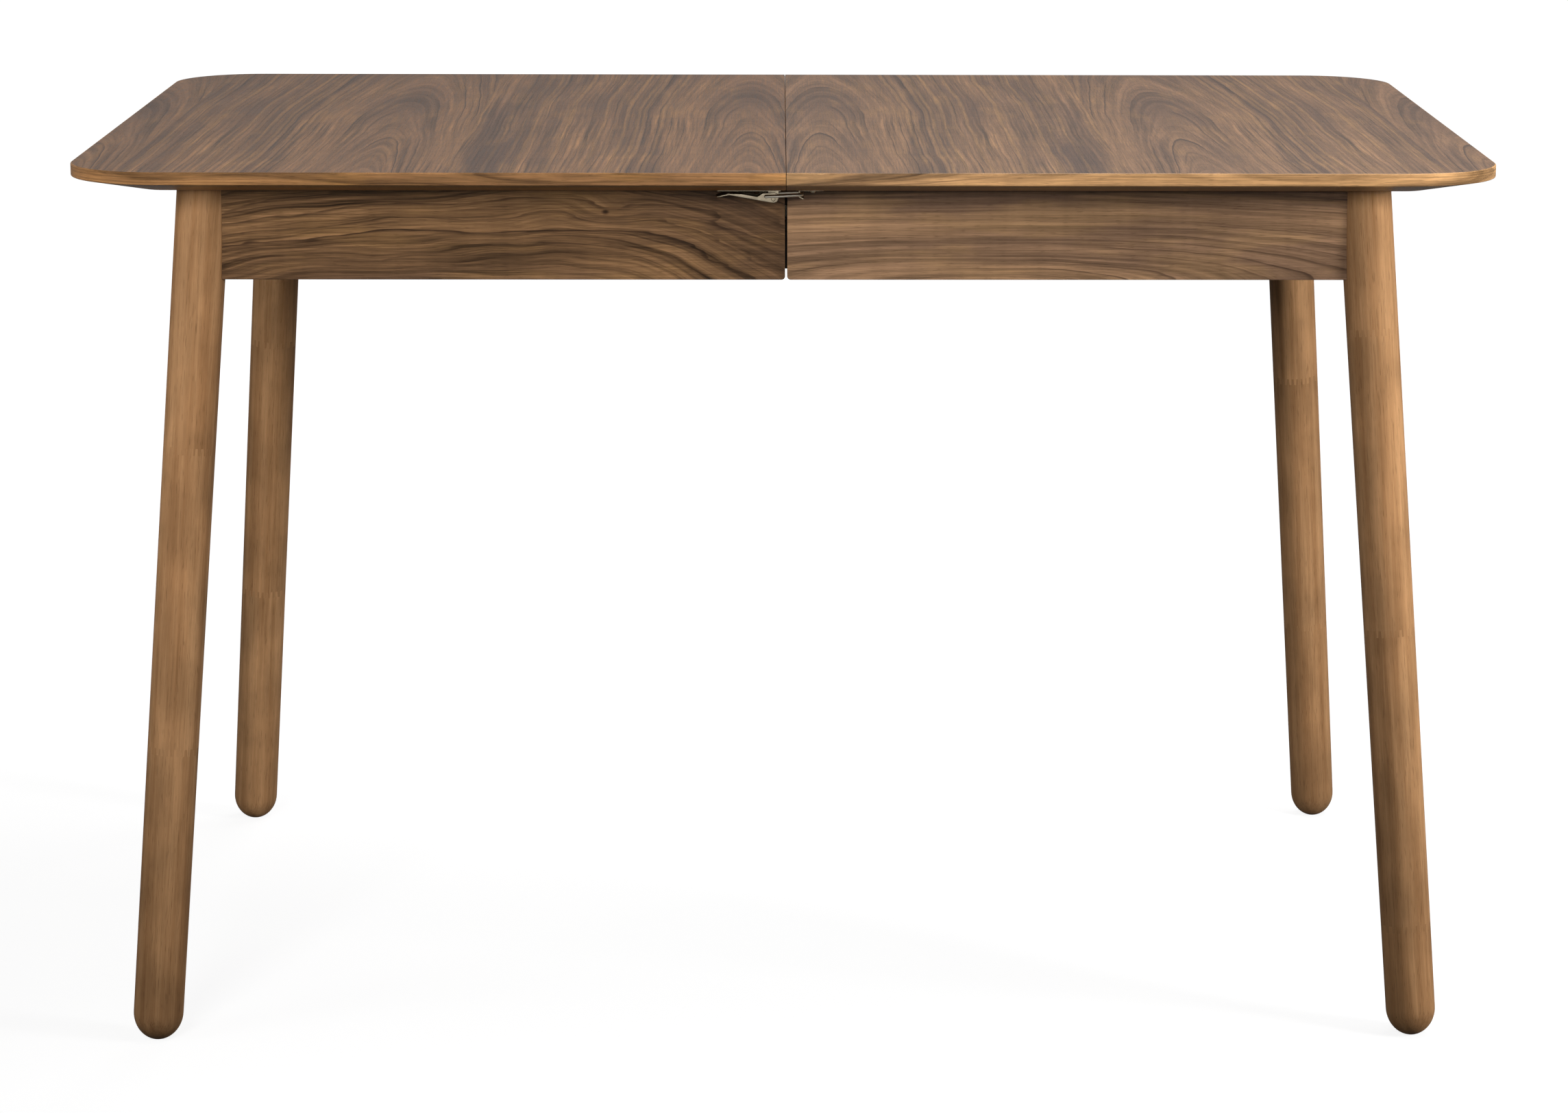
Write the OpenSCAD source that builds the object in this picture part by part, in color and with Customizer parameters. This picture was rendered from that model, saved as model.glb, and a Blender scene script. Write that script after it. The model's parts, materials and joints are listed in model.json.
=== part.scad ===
// Extending dining table. The top parts at the seam in the middle of its length, and each half
// keeps its own two legs and aprons. A folded leaf rides under the top on a carriage that two
// rack and pinion equalisers keep in the middle. A toggle latch at the front and at the rear
// holds the halves together.
// X runs along the length, the front is at -Y, and Z is up from the floor.

/* [Table] */
// Length, closed
table_l = 1200; // [1120:10:1600]
// Width
table_w = 800; // [770:10:1000]
// Height of the top above the floor
table_h = 760; // [700:5:800]
// Gap between the two halves of the top
seam_gap = 0.6; // [0.3:0.1:2]

/* [Top] */
// Thickness in the middle
top_t = 22; // [20:1:26]
// Height of the upright edge
edge_h = 10.5; // [6:0.5:14]
// Width of the bevel under the edge
bevel_w = 58; // [40:1:60]
// Radius of the corners in plan
corner_r = 80; // [66:1:100]
// Easing of the sharp edges
arris_r = 1.2; // [0.5:0.1:2]

/* [Legs] */
// Diameter where the leg meets the top
leg_d = 45.2; // [38:0.2:50]
// Diameter just above the rounded foot
foot_d = 42.8; // [34:0.2:50]
// Distance from the table's end to the leg's centre, under the top
leg_inset_x = 107; // [100:1:130]
// Distance from the table's side to the leg's centre, under the top
leg_inset_y = 104.5; // [98:0.5:130]
// Outward lean along the length, in degrees
splay_x = 4.27; // [0:0.01:6]
// Outward lean across the width, in degrees
splay_y = 4.92; // [0:0.01:6]
// Length of the rounded foot
nose_l = 24.5; // [15:0.5:35]
// Depth that the foot is cut flat by
foot_cut = 0.6; // [0.3:0.1:2]

/* [Aprons] */
// Height
apron_h = 80; // [76:1:100]
// Thickness
apron_t = 20; // [16:1:24]
// Outer face, out from the leg's centre under the top
apron_out = 16; // [10:0.5:20]
// Gap between the aprons at the seam
apron_gap = 1.8; // [1:0.1:4]
// Rounding of the lower corner at the seam
apron_round = 3; // [1:0.5:8]
// Clearance between apron and leg
cope_gap = 0.2; // [0.1:0.1:0.5]

/* [Corner blocks and fasteners] */
// Drop from the top's underside to a corner block
block_drop = 13; // [8:1:16]
// Height of a corner block
block_h = 50; // [30:1:56]
// Thickness of a corner block
block_t = 28; // [20:1:32]
// Clearance between a corner block and its leg
block_gap = 0.4; // [0.2:0.1:1]
// Diameter of a hanger bolt
bolt_d = 8; // [6:1:10]
// Depth of a hanger bolt in the leg, past the leg's centre
bolt_bite = 10; // [5:1:14]
// Length of a hanger bolt that stands out of its nut
bolt_out = 4; // [2:0.5:6]
// Width across the flats of its nut
nut_af = 13; // [10:1:17]
// Height of its nut
nut_h = 6.5; // [5:0.5:8]
// Diameter of its washer
washer_d = 24; // [18:1:30]
// Thickness of its washer
washer_t = 1.6; // [1:0.1:2.5]
// Length of a top bracket's arms
bracket_l = 20; // [14:1:26]
// Width of a top bracket
bracket_w = 30; // [20:1:40]
// Thickness of a top bracket
bracket_t = 2; // [1.5:0.1:3]
// Diameter of the screw holes in the brackets and channels
hole_d = 4.5; // [3.5:0.1:5]
// Diameter of a seam pin
seam_pin_d = 8; // [6:1:10]
// Length of a seam pin outside its edge
seam_pin_out = 11; // [6:1:12]
// Length of a seam pin inside its edge
seam_pin_in = 16; // [10:1:24]
// Length of its turned tip
seam_pin_tip = 2; // [1:0.5:3]
// Distance of the seam pins from the table's side
seam_pin_inset = 150; // [110:5:190]

/* [Slides] */
// Height of a slide channel
channel_h = 36; // [30:1:40]
// Depth of a slide channel
channel_d = 16; // [14:0.5:20]
// Wall of a slide channel
channel_wall = 2; // [1.5:0.1:3]
// Height of a channel's lips
channel_lip = 4; // [2:0.5:6]
// Height of the channel above the apron's lower edge
channel_up = 4; // [3:1:10]
// Distance from the seam to a channel
channel_in = 3; // [2:0.5:6]
// Clearance between a channel and the corner block
channel_end_gap = 4; // [2:0.5:8]
// Running clearance of a carriage rail in its channel
slide_gap = 0.3; // [0.2:0.1:0.6]
// Thickness of a carriage rail's inner flange
flange_t = 3; // [2:0.5:5]
// Clearance between the channel's lips and the rail's inner flange
flange_gap = 3; // [2:0.5:5]
// Length of carriage rail that stays in a channel when the table is open
rail_bite = 145; // [100:5:150]

/* [Leaf] */
// Length that the leaf adds
leaf_l = 400; // [300:10:440]
// Extra opening that lets the leaf in
leaf_play = 10; // [4:1:20]
// Gap between the folded panels
fold_gap = 0.5; // [0.3:0.1:2]
// Gap that the leaf leaves to each half of the top
leaf_gap = 0.2; // [0.1:0.1:0.5]
// Diameter of a leaf hinge's barrel
hinge_d = 12; // [10:0.5:14]
// Height of the straps that carry the leaf, above the apron's lower edge
strap_up = 6; // [4:0.5:8]
// Thickness of a strap
strap_t = 4; // [3:0.5:6]
// Width of a strap
strap_w = 30; // [20:1:40]
// Distance of a strap from the leaf's middle, as a share of the leaf's length
strap_share = 0.36; // [0.25:0.01:0.38]
// Width of a cross rail
cross_w = 30; // [20:1:34]
// Gap between a leaf's seam pin and the cross rail
cross_gap = 5; // [3:1:8]
// Diameter of the pivot rod
rod_d = 10; // [8:1:12]
// Radial clearance of the leaf brackets on the rod
rod_play = 0.06; // [0.03:0.01:0.1]
// Wall of the eyes round the rod
eye_wall = 4; // [3:0.5:5]
// Thickness of a rod support
support_t = 8; // [6:1:12]
// Width of a rod support
support_w = 30; // [24:1:36]
// Length of a leaf bracket's plate
leaf_plate_l = 40; // [30:1:50]
// Width of a leaf bracket's plate
leaf_plate_w = 36; // [30:1:44]
// Length of a leaf bracket's eye
leaf_eye_l = 12; // [8:1:16]
// Distance of a leaf bracket from the leaf's middle, as a share of the leaf's length
leaf_bracket_share = 0.3; // [0.2:0.01:0.35]
// Thickness of the plates that the supports and leaf brackets are screwed down by
foot_t = 3; // [2:0.5:4]

/* [Equaliser] */
// Teeth on a pinion
pinion_teeth = 18; // [17:1:20]
// Module of the teeth
tooth_m = 2; // [1.5:0.25:2]
// Backlash between the teeth
backlash = 0.3; // [0.1:0.05:0.5]
// Height of a rack
rack_h = 12; // [8:1:14]
// Distance from the top down to a rack
rack_drop = 10; // [6:1:12]
// Metal behind a rack's teeth
rack_back = 6; // [4:0.5:7]
// Gap between a rail's flange and the rack next to it
rack_gap = 3; // [2:0.5:5]
// Length of plain rack behind its teeth
rack_plain = 80; // [60:5:100]
// Height that a pinion stands above and below its racks
pinion_over = 1; // [0.5:0.1:2]
// Diameter of a pinion's pin
pin_d = 8; // [6:0.5:12]
// Radial clearance of a pinion on its pin
pin_play = 0.06; // [0.03:0.01:0.1]
// Distance from a pinion down to its bracket
pinion_up = 12; // [8:1:14]
// Width of a pinion's bracket
gear_plate_w = 40; // [30:1:50]
// Thickness of a pinion's bracket
gear_plate_t = 3; // [2:0.5:4]

/* [Latch] */
// Distance from the apron's face to the middle of the latch
latch_out = 18; // [17:0.5:20]
// Length of the base plate
base_l = 53.5; // [52:0.5:70]
// Distance from the seam to the lever's rivet
rivet_x = 10.7; // [10:0.1:14]
// Drop from the top's underside to the rivet
rivet_drop = 7.6; // [7.4:0.1:9]
// Distance from the rivet to the bail's eye, away from the seam
eye_x = 6.3; // [6:0.1:7]
// Height of the bail's eye above the rivet
eye_up = 2.3; // [2:0.1:2.6]
// Diameter of the lever's rivet
rivet_d = 3; // [2.5:0.1:3.4]
// Width of the base's ears
ear_w = 9; // [8:0.5:10]
// Radius of their round ends
ear_r = 2.8; // [2.5:0.1:3]
// Distance from the seam to the middle of the bail's cross wire
bail_x = 13.6; // [13:0.1:16]
// Drop from the top's underside to the cross wire
bail_drop = 3.9; // [3.6:0.1:4.2]
// Diameter of the bail's wire
wire_d = 2.5; // [2:0.1:2.6]
// Outside width of the lever
lever_w = 18.5; // [16:0.5:20]
// Length of the lever's thumb tab
tab_l = 11; // [8:0.5:14]
// Radius of the tab's corners
tab_r = 4; // [2:0.5:6]
// Length of the lever from its rivet to the tab
lever_l = 37.4; // [34:0.2:44]
// Thickness of the latch's sheet metal
sheet_t = 1.2; // [1:0.1:1.3]
// Side clearance between the latch's pieces
latch_gap = 0.25; // [0.15:0.05:0.4]
// Diameter of the latch's screw heads
screw_head_d = 5.4; // [4.5:0.1:6]
// Diameter of the latch's screws
screw_d = 3; // [2.5:0.1:3.5]
// Length of the latch's screws in the top
screw_l = 12; // [8:1:14]
// Height of their heads
screw_head_h = 1.4; // [1:0.1:1.5]
// Length of a keeper's plate
keeper_l = 20; // [18:0.5:24]
// Width of a keeper
keeper_w = 14; // [13:0.5:16]

/* [Hidden] */
$fn = 64;
walnut = [0.43, 0.33, 0.27];
apron_walnut = [0.35, 0.25, 0.20];
leg_walnut = [0.52, 0.37, 0.25];
beech = [0.78, 0.62, 0.43];
black_steel = [0.13, 0.13, 0.14];
bright_steel = [0.74, 0.74, 0.72];
brass = [0.80, 0.62, 0.30];
nylon = [0.88, 0.87, 0.83];

half_l = table_l / 2;
half_w = table_w / 2;
under_z = table_h - top_t;
seam_x = seam_gap / 2;
cut = 1;
hair = 0.05;
hole_spare = 0.5;
seam_pin_play = 0.1;

// Legs: centre under the top, and where the centre line meets the floor
leg_x = half_l - leg_inset_x;
leg_y = half_w - leg_inset_y;
foot_x = leg_x + tan(splay_x) * under_z;
foot_y = leg_y + tan(splay_y) * under_z;
lean = atan(norm([tan(splay_x), tan(splay_y)]));
lean_dir = atan2(tan(splay_y), tan(splay_x));
leg_len = under_z / cos(lean) + leg_d;
nose_steps = 12;
// The ball is the tip of the ellipse that the foot's outline follows.
tip_angle = 20;
ball_share = 0.975;
ball_r = ball_share * pow(foot_d / 2, 2) / nose_l;
function leg_at(z) = [leg_x + tan(splay_x) * (under_z - z), leg_y + tan(splay_y) * (under_z - z)];

// Aprons: outer faces, lower edge and inner faces
apron_x = leg_x + apron_out;
apron_y = leg_y + apron_out;
apron_z = under_z - apron_h;
inner_x = apron_x - apron_t;
inner_y = apron_y - apron_t;

// Corner blocks: distances from the aprons' inner corner along the diagonal
block_z = under_z - block_drop - block_h;
bolt_z = block_z + block_h / 2;
block_leg = leg_at(block_z + block_h);
block_near = leg_d / 2 - (block_leg[0] - inner_x + block_leg[1] - inner_y) / sqrt(2) + block_gap;
block_far = block_near + block_t;
bolt_at = leg_at(bolt_z);
bolt_reach = (bolt_at[0] - inner_x + bolt_at[1] - inner_y) / sqrt(2) + block_far;
bolt_end = bolt_reach + washer_t + nut_h + bolt_out;

// Slides: heights and depths of the channel and of the rail in it
channel_z = apron_z + channel_up;
channel_x1 = inner_x - block_far * sqrt(2) - channel_end_gap;
channel_x0 = channel_in;
channel_holes = 4;
rail_half = (leaf_l + leaf_play) / 2 + rail_bite;
rail_body_y = inner_y - channel_wall - slide_gap;
rail_neck_y = inner_y - channel_d + channel_wall + slide_gap;
rail_out_y = inner_y - channel_d - flange_gap;
rail_in_y = rail_out_y - flange_t;
rail_z0 = channel_z + channel_wall + slide_gap;
rail_z1 = channel_z + channel_h - channel_wall - slide_gap;
neck_z0 = rail_z0 + channel_lip;
neck_z1 = rail_z1 - channel_lip;

// Top brackets: places along the channel and across the end, as shares
bracket_shares = [0.25, 0.8];
bracket_end_share = 0.4;
bracket_hole = bracket_l * 0.6;

// Leaf: the folded panels lie on the straps, and the rod is half way up to where they open
leaf_z = apron_z + strap_up + strap_t;
fold_z = leaf_z + top_t;
stack_z = fold_z + fold_gap + top_t;
fold_y = half_w / 2;
leaf_x = leaf_l / 2 - leaf_gap;
turn_y = half_w / 4;
turn_z = (table_h + fold_z) / 2;
cross_x0 = leaf_x + seam_pin_out + cross_gap;
cross_x1 = cross_x0 + cross_w;
cross_z1 = rail_z1;
strap_x = leaf_l * strap_share;
leaf_pin_y = turn_y * 2 - (half_w - seam_pin_inset);
eye_r = rod_d / 2 + eye_wall;
support_x0 = cross_x0 + (cross_w - support_t) / 2;

// Leaf hinges: middles of the panels, and the barrels and the link between them
lower_mid = fold_z - top_t / 2;
upper_mid = fold_z + fold_gap + top_t / 2;
hinge_r = hinge_d / 2;
hinge_x = leaf_l / 4;
hinge_in = 14;
hinge_out = 1.5;
link_t = 4;
link_w = 8;

// Equaliser
pinion_r = tooth_m * pinion_teeth / 2;
tooth_pitch = PI * tooth_m;
pressure = 20;
base_r = pinion_r * cos(pressure);
tip_r = pinion_r + tooth_m;
root_h = 1.25 * tooth_m;
root_r = pinion_r - root_h;
flank_steps = 5;
gear_y = rail_in_y - rack_gap - rack_back - root_h - pinion_r;
rack_z1 = under_z - rack_drop;
rack_z0 = rack_z1 - rack_h;
pinion_z0 = rack_z0 - pinion_over;
pinion_z1 = rack_z1 + pinion_over;
gear_plate_z = pinion_z0 - pinion_up;
gear_leg_z = rail_z0 + gear_plate_t;
rack_end = (leaf_l + leaf_play) / 2 + 2 * tooth_pitch;
rack_tail = rack_end + rack_plain;
rack_foot_x = 30;
rack_lead = 4;
rack_teeth = floor(rack_end / tooth_pitch);
// Collar, cap and end of a pinion's pin
pin_float = 0.3;
pin_collar_r = pin_d / 2 + 3;
pin_cap_r = pin_d / 2 + 2;
pin_cap_t = 1.2;
pin_out = 3;

// Latch
latch_y = apron_y + latch_out;
rivet_z = under_z - rivet_drop;
eye_at = [-rivet_x - eye_x, rivet_z + eye_up];
wire_r = wire_d / 2;
bail_z = under_z - bail_drop;
bail_len = norm([bail_x - eye_at[0], bail_z - eye_at[1]]);
bail_tilt = atan2(bail_z - eye_at[1], bail_x - eye_at[0]);
bail_play = 0.2;
bail_half = lever_w / 2 + bail_play + wire_r;
bend_r = 3.5;
rivet_r = rivet_d / 2;
ear_half = lever_w / 2 - sheet_t - latch_gap;
plate_z = under_z - sheet_t;
base_x1 = -4.5;
base_x0 = base_x1 - base_l;
base_screws = [for (in = [4.2, 20, 30]) base_x0 + in];
keeper_gap = 0.6;
keeper_wall = bail_x - wire_r - keeper_gap;
keeper_screw_x = bail_x + 9;
keeper_screw_y = 3.8;
// Lever's outline from its rivet, and the keeper's lip from the foot of its wall
tab_root = [-lever_l, 4.6];
tab_end = tab_root + [-tab_l, -2.3];
tab_overlap = 0.5;
back_end = [-lever_l * 0.16, -1.9];
cheek = [tab_root, [-lever_l * 0.72, 4.4], [-lever_l * 0.36, 2.0], [-9.2, 4.9], [0.9, 5.5],
  [3.6, 4.2], [4.4, 0.6], [3.2, -2.0], [0.6, -3.1], [-2.0, -2.9], tab_root - [0, sheet_t]];
keeper_lip = [[0, -0.5], [3.4, -2.2], [2.7, -3.2], [-sheet_t, -1.2]];

// Helpers
module rear() mirror([0, 1, 0]) children();
module left() mirror([1, 0, 0]) children();
module along_x(x0, x1) translate([x0, 0, 0]) rotate([90, 0, 90]) linear_extrude(x1 - x0) children();
module along_y(y0, y1) translate([0, y1, 0]) rotate([90, 0, 0]) linear_extrude(y1 - y0) children();
module block(from, to) translate(from) cube(to - from);
module rod_x(r, x0, x1) translate([x0, 0, 0]) rotate([0, 90, 0]) cylinder(r = r, h = x1 - x0);
module rod_y(r, y0, y1) translate([0, y0, 0]) rotate([-90, 0, 0]) cylinder(r = r, h = y1 - y0);

// Section of the top from its outer edge inwards: bevel, upright edge and eased arris
function edge_section(depth) = concat(
  [[depth, under_z], [bevel_w, under_z], [0, table_h - edge_h]],
  [for (a = [0:22.5:90]) [arris_r - arris_r * cos(a), table_h - arris_r + arris_r * sin(a)]],
  [[depth, table_h]]);

module top_half() {
  side = half_w - corner_r;
  end = half_l - corner_r;
  union() {
    block([seam_x, -side, under_z], [end, side, table_h]);
    for (turn = [0, 1]) mirror([0, turn, 0]) {
      along_x(seam_x, end) translate([-half_w, 0]) polygon(edge_section(corner_r));
      translate([end, side, 0]) rotate_extrude(angle = 90)
        polygon([for (p = edge_section(corner_r)) [corner_r - p[0], p[1]]]);
    }
    mirror([1, 0, 0]) along_y(-side, side) translate([-half_l, 0]) polygon(edge_section(corner_r));
  }
}
module seam_pin_holes(r, depth)
  for (y = [-1, 1] * (half_w - seam_pin_inset))
    translate([0, y, table_h - top_t / 2]) rod_x(r, -cut, seam_x + depth);
module screw_holes(xs, ys) for (x = xs, y = ys)
  translate([x, y, under_z - cut]) cylinder(d = screw_d + 2 * hair, h = screw_l + 2 * cut);
module top_left() color(walnut) difference() {
  left() top_half();
  left() seam_pin_holes(seam_pin_d / 2 + hair, seam_pin_in + hole_spare);
  screw_holes(base_screws, [-latch_y, latch_y]);
}
module top_right() color(walnut) difference() {
  top_half();
  seam_pin_holes(seam_pin_d / 2 + seam_pin_play, seam_pin_out + seam_pin_tip);
  screw_holes([keeper_screw_x], keeper_screw_ys());
}
module seam_pins() color(brass)
  for (y = [-1, 1] * (half_w - seam_pin_inset))
    translate([0, y, table_h - top_t / 2]) seam_pin(-seam_x);

// A pin that stands out of an edge at x, with its end turned down
module seam_pin(x) {
  rod_x(seam_pin_d / 2, x - seam_pin_in, x + seam_pin_out - seam_pin_tip);
  translate([x + seam_pin_out - seam_pin_tip, 0, 0]) rotate([0, 90, 0])
    cylinder(d1 = seam_pin_d, d2 = seam_pin_d - 1.5 * seam_pin_tip, h = seam_pin_tip);
}

// Leg: a straight taper with a rounded foot, turned about its centre line
function leg_section(grow) = concat(
  [[0, nose_l * (1 - cos(tip_angle))]],
  [for (i = [0:nose_steps]) let (a = tip_angle + (90 - tip_angle) * i / nose_steps)
    [foot_d / 2 * sin(a) + grow, nose_l * (1 - cos(a))]],
  [[leg_d / 2 + grow, leg_len], [0, leg_len]]);
module leg_shape(grow = 0) translate([foot_x, foot_y, -foot_cut])
  rotate([0, lean, lean_dir + 180]) rotate([0, 0, 90]) union() {
    rotate_extrude() polygon(leg_section(grow));
    translate([0, 0, ball_r]) sphere(r = ball_r);
  }
module bolt_line() translate([bolt_at[0], bolt_at[1], bolt_z]) rotate([0, 0, 225]) children();
module leg() color(leg_walnut) difference() {
  leg_shape();
  wide = 2 * leg_d;
  block([leg_x - wide, leg_y - wide, under_z], [leg_x + wide, leg_y + wide, under_z + wide]);
  block([foot_x - wide, foot_y - wide, -wide], [foot_x + wide, foot_y + wide, 0]);
  bolt_line() rod_x(bolt_d / 2 + hair, -bolt_bite - hole_spare, leg_d);
}

// Front apron of the right half, coped to the leg
module apron_side() color(apron_walnut) difference() {
  x0 = apron_gap / 2;
  union() {
    block([x0, -apron_y, apron_z + apron_round], [leg_at(bolt_z)[0], -inner_y, under_z]);
    block([x0 + apron_round, -apron_y, apron_z], [leg_at(bolt_z)[0], -inner_y, under_z]);
    translate([x0 + apron_round, 0, apron_z + apron_round]) rod_y(apron_round, -apron_y, -inner_y);
  }
  rear() leg_shape(cope_gap);
}
module apron_end() color(apron_walnut) difference() {
  block([inner_x, -leg_at(bolt_z)[1], apron_z], [apron_x, leg_at(bolt_z)[1], under_z]);
  leg_shape(cope_gap);
  rear() leg_shape(cope_gap);
}

// Corner block of the rear right leg, with the bore of its bolt
module corner_block() color(beech) difference() {
  translate([inner_x, inner_y, block_z]) linear_extrude(block_h)
    polygon([[0, -block_near], [-block_near, 0], [-block_far, 0], [0, -block_far]] * sqrt(2));
  bolt_line() rod_x(bolt_d / 2 + hair, 0, bolt_end);
}
module leg_bolt() color(bright_steel) bolt_line() rod_x(bolt_d / 2, -bolt_bite, bolt_end);
module leg_nut() color(bright_steel) bolt_line() {
  difference() {
    rod_x(washer_d / 2, bolt_reach, bolt_reach + washer_t);
    rod_x(bolt_d / 2 + hair, 0, bolt_end);
  }
  difference() {
    translate([bolt_reach + washer_t + hair, 0, 0]) rotate([0, 90, 0])
      cylinder(d = nut_af / cos(30), h = nut_h, $fn = 6);
    rod_x(bolt_d / 2 + hair, 0, bolt_end);
  }
}
module both_legs() {
  children();
  rear() children();
}

// Angle bracket between an apron and the top, in the corner of their faces
module top_bracket() difference() {
  union() {
    translate([0, -bracket_w / 2, -bracket_l]) cube([bracket_t, bracket_w, bracket_l]);
    translate([0, -bracket_w / 2, -bracket_t]) cube([bracket_l, bracket_w, bracket_t]);
  }
  for (y = [-1, 1] * bracket_w / 4) translate([0, y, 0]) {
    translate([0, 0, -bracket_hole]) rod_x(hole_d / 2, -cut, bracket_t + cut);
    translate([bracket_hole, 0, -bracket_t - cut]) cylinder(d = hole_d, h = bracket_t + 2 * cut);
  }
}
module top_brackets() color(bright_steel) {
  for (x = bracket_shares * channel_x1, side = [-1, 1])
    translate([x, side * inner_y, under_z]) rotate([0, 0, -90 * side]) top_bracket();
  for (side = [-1, 1])
    translate([inner_x, side * leg_y * bracket_end_share, under_z]) rotate([0, 0, 180]) top_bracket();
}

// Lipped channel on the inner face of the rear right apron, with countersunk holes in its back
module slide_channel() color(black_steel) difference() {
  along_x(channel_x0, channel_x1) translate([inner_y - channel_d, channel_z]) difference() {
    square([channel_d, channel_h]);
    translate([channel_wall, channel_wall])
      square([channel_d - 2 * channel_wall, channel_h - 2 * channel_wall]);
    translate([-cut, channel_wall + channel_lip])
      square([channel_wall + 2 * cut, channel_h - 2 * (channel_wall + channel_lip)]);
  }
  for (i = [0:channel_holes - 1])
    translate([channel_x0 + (i + 0.5) * (channel_x1 - channel_x0) / channel_holes,
      inner_y - channel_wall - hair, channel_z + channel_h / 2])
      rotate([-90, 0, 0]) cylinder(d1 = 2 * hole_d, d2 = hole_d, h = channel_wall + 2 * hair);
}

// Rail that runs in the rear channels: body, neck and inner flange
module carriage_rail() color(bright_steel) along_x(-rail_half, rail_half) {
  polygon([[rail_body_y, rail_z0], [rail_body_y, rail_z1], [rail_neck_y, rail_z1],
    [rail_neck_y, neck_z1 - slide_gap], [rail_out_y, neck_z1 - slide_gap], [rail_out_y, rail_z1],
    [rail_in_y, rail_z1], [rail_in_y, rail_z0], [rail_out_y, rail_z0],
    [rail_out_y, neck_z0 + slide_gap], [rail_neck_y, neck_z0 + slide_gap],
    [rail_neck_y, rail_z0]]);
}
module cross_rail() color(beech)
  block([cross_x0, -rail_in_y, rail_z0], [cross_x1, rail_in_y, cross_z1]);
module leaf_straps() color(black_steel)
  for (x = [-1, 1] * strap_x) translate([x, 0, 0]) along_x(-strap_w / 2, strap_w / 2) {
    polygon([[-rail_in_y, leaf_z - strap_t], [rail_in_y, leaf_z - strap_t], [rail_in_y, cross_z1],
      [rail_in_y - strap_t, cross_z1], [rail_in_y - strap_t, leaf_z],
      [strap_t - rail_in_y, leaf_z], [strap_t - rail_in_y, cross_z1], [-rail_in_y, cross_z1]]);
  }

// Folded leaf. The lower panel's show face is up, and the upper panel's is down.
module leaf_panel() along_x(-leaf_x, leaf_x) translate([-fold_y, fold_z - table_h])
  polygon(edge_section(2 * fold_y));
module hinge_bores(z) for (x = [-1, 1] * hinge_x)
  translate([x, 0, z]) rod_y(hinge_r + hair, fold_y - hinge_in - hole_spare, fold_y + cut);
module leaf_pin_bores(z) translate([0, leaf_pin_y, z]) {
  rod_x(seam_pin_d / 2 + hair, leaf_x - seam_pin_in - hole_spare, leaf_x + cut);
  rod_x(seam_pin_d / 2 + seam_pin_play, -leaf_x - cut, seam_pin_out + seam_pin_tip - leaf_x);
}
module leaf_panel_lower() color(walnut) difference() {
  leaf_panel();
  hinge_bores(lower_mid);
  leaf_pin_bores(lower_mid);
}
module leaf_panel_upper() color(walnut) difference() {
  translate([0, 0, 2 * fold_z + fold_gap]) mirror([0, 0, 1]) leaf_panel();
  hinge_bores(upper_mid);
  leaf_pin_bores(upper_mid);
}
module leaf_hinges() color(brass) for (x = [-1, 1] * hinge_x) translate([x, 0, 0]) union() {
  for (z = [lower_mid, upper_mid])
    translate([0, 0, z]) rod_y(hinge_r, fold_y - hinge_in, fold_y + hinge_out);
  translate([-link_w / 2, fold_y + hinge_out / 2, (lower_mid + upper_mid) / 2]) rotate([0, 90, 0])
    rotate_extrude(angle = 180)
      translate([(upper_mid - lower_mid - link_t) / 2, 0]) square([link_t, link_w]);
}
module leaf_pins() color(brass)
  for (z = [lower_mid, upper_mid]) translate([0, leaf_pin_y, z]) seam_pin(leaf_x);

// Rod that the leaf turns over on, its supports and the leaf's brackets
module pivot_rod() color(bright_steel)
  translate([0, turn_y, turn_z]) rod_x(rod_d / 2, -cross_x1, cross_x1);
module rod_supports() color(black_steel) for (side = [0, 1]) mirror([side, 0, 0])
  translate([0, turn_y, 0]) difference() {
    union() {
      along_x(support_x0, support_x0 + support_t)
        polygon([[-support_w / 2, cross_z1], [support_w / 2, cross_z1], [eye_r, turn_z],
          [-eye_r, turn_z]]);
      block([cross_x0, -support_w / 2, cross_z1], [cross_x1, support_w / 2, cross_z1 + foot_t]);
      translate([0, 0, turn_z]) rod_x(eye_r, support_x0, support_x0 + support_t);
    }
    translate([0, 0, turn_z]) rod_x(rod_d / 2 + hair, 0, cross_x1 + cut);
  }
module leaf_brackets() color(black_steel) for (x = [-1, 1] * leaf_l * leaf_bracket_share)
  translate([x, turn_y, 0]) difference() {
    union() {
      block([-leaf_plate_l / 2, -leaf_plate_w / 2, stack_z],
        [leaf_plate_l / 2, leaf_plate_w / 2, stack_z + foot_t]);
      block([-leaf_eye_l / 2, -eye_r, stack_z], [leaf_eye_l / 2, eye_r, turn_z]);
      translate([0, 0, turn_z]) rod_x(eye_r, -leaf_eye_l / 2, leaf_eye_l / 2);
    }
    translate([0, 0, turn_z]) rod_x(rod_d / 2 + rod_play, -leaf_eye_l, leaf_eye_l);
  }

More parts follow.
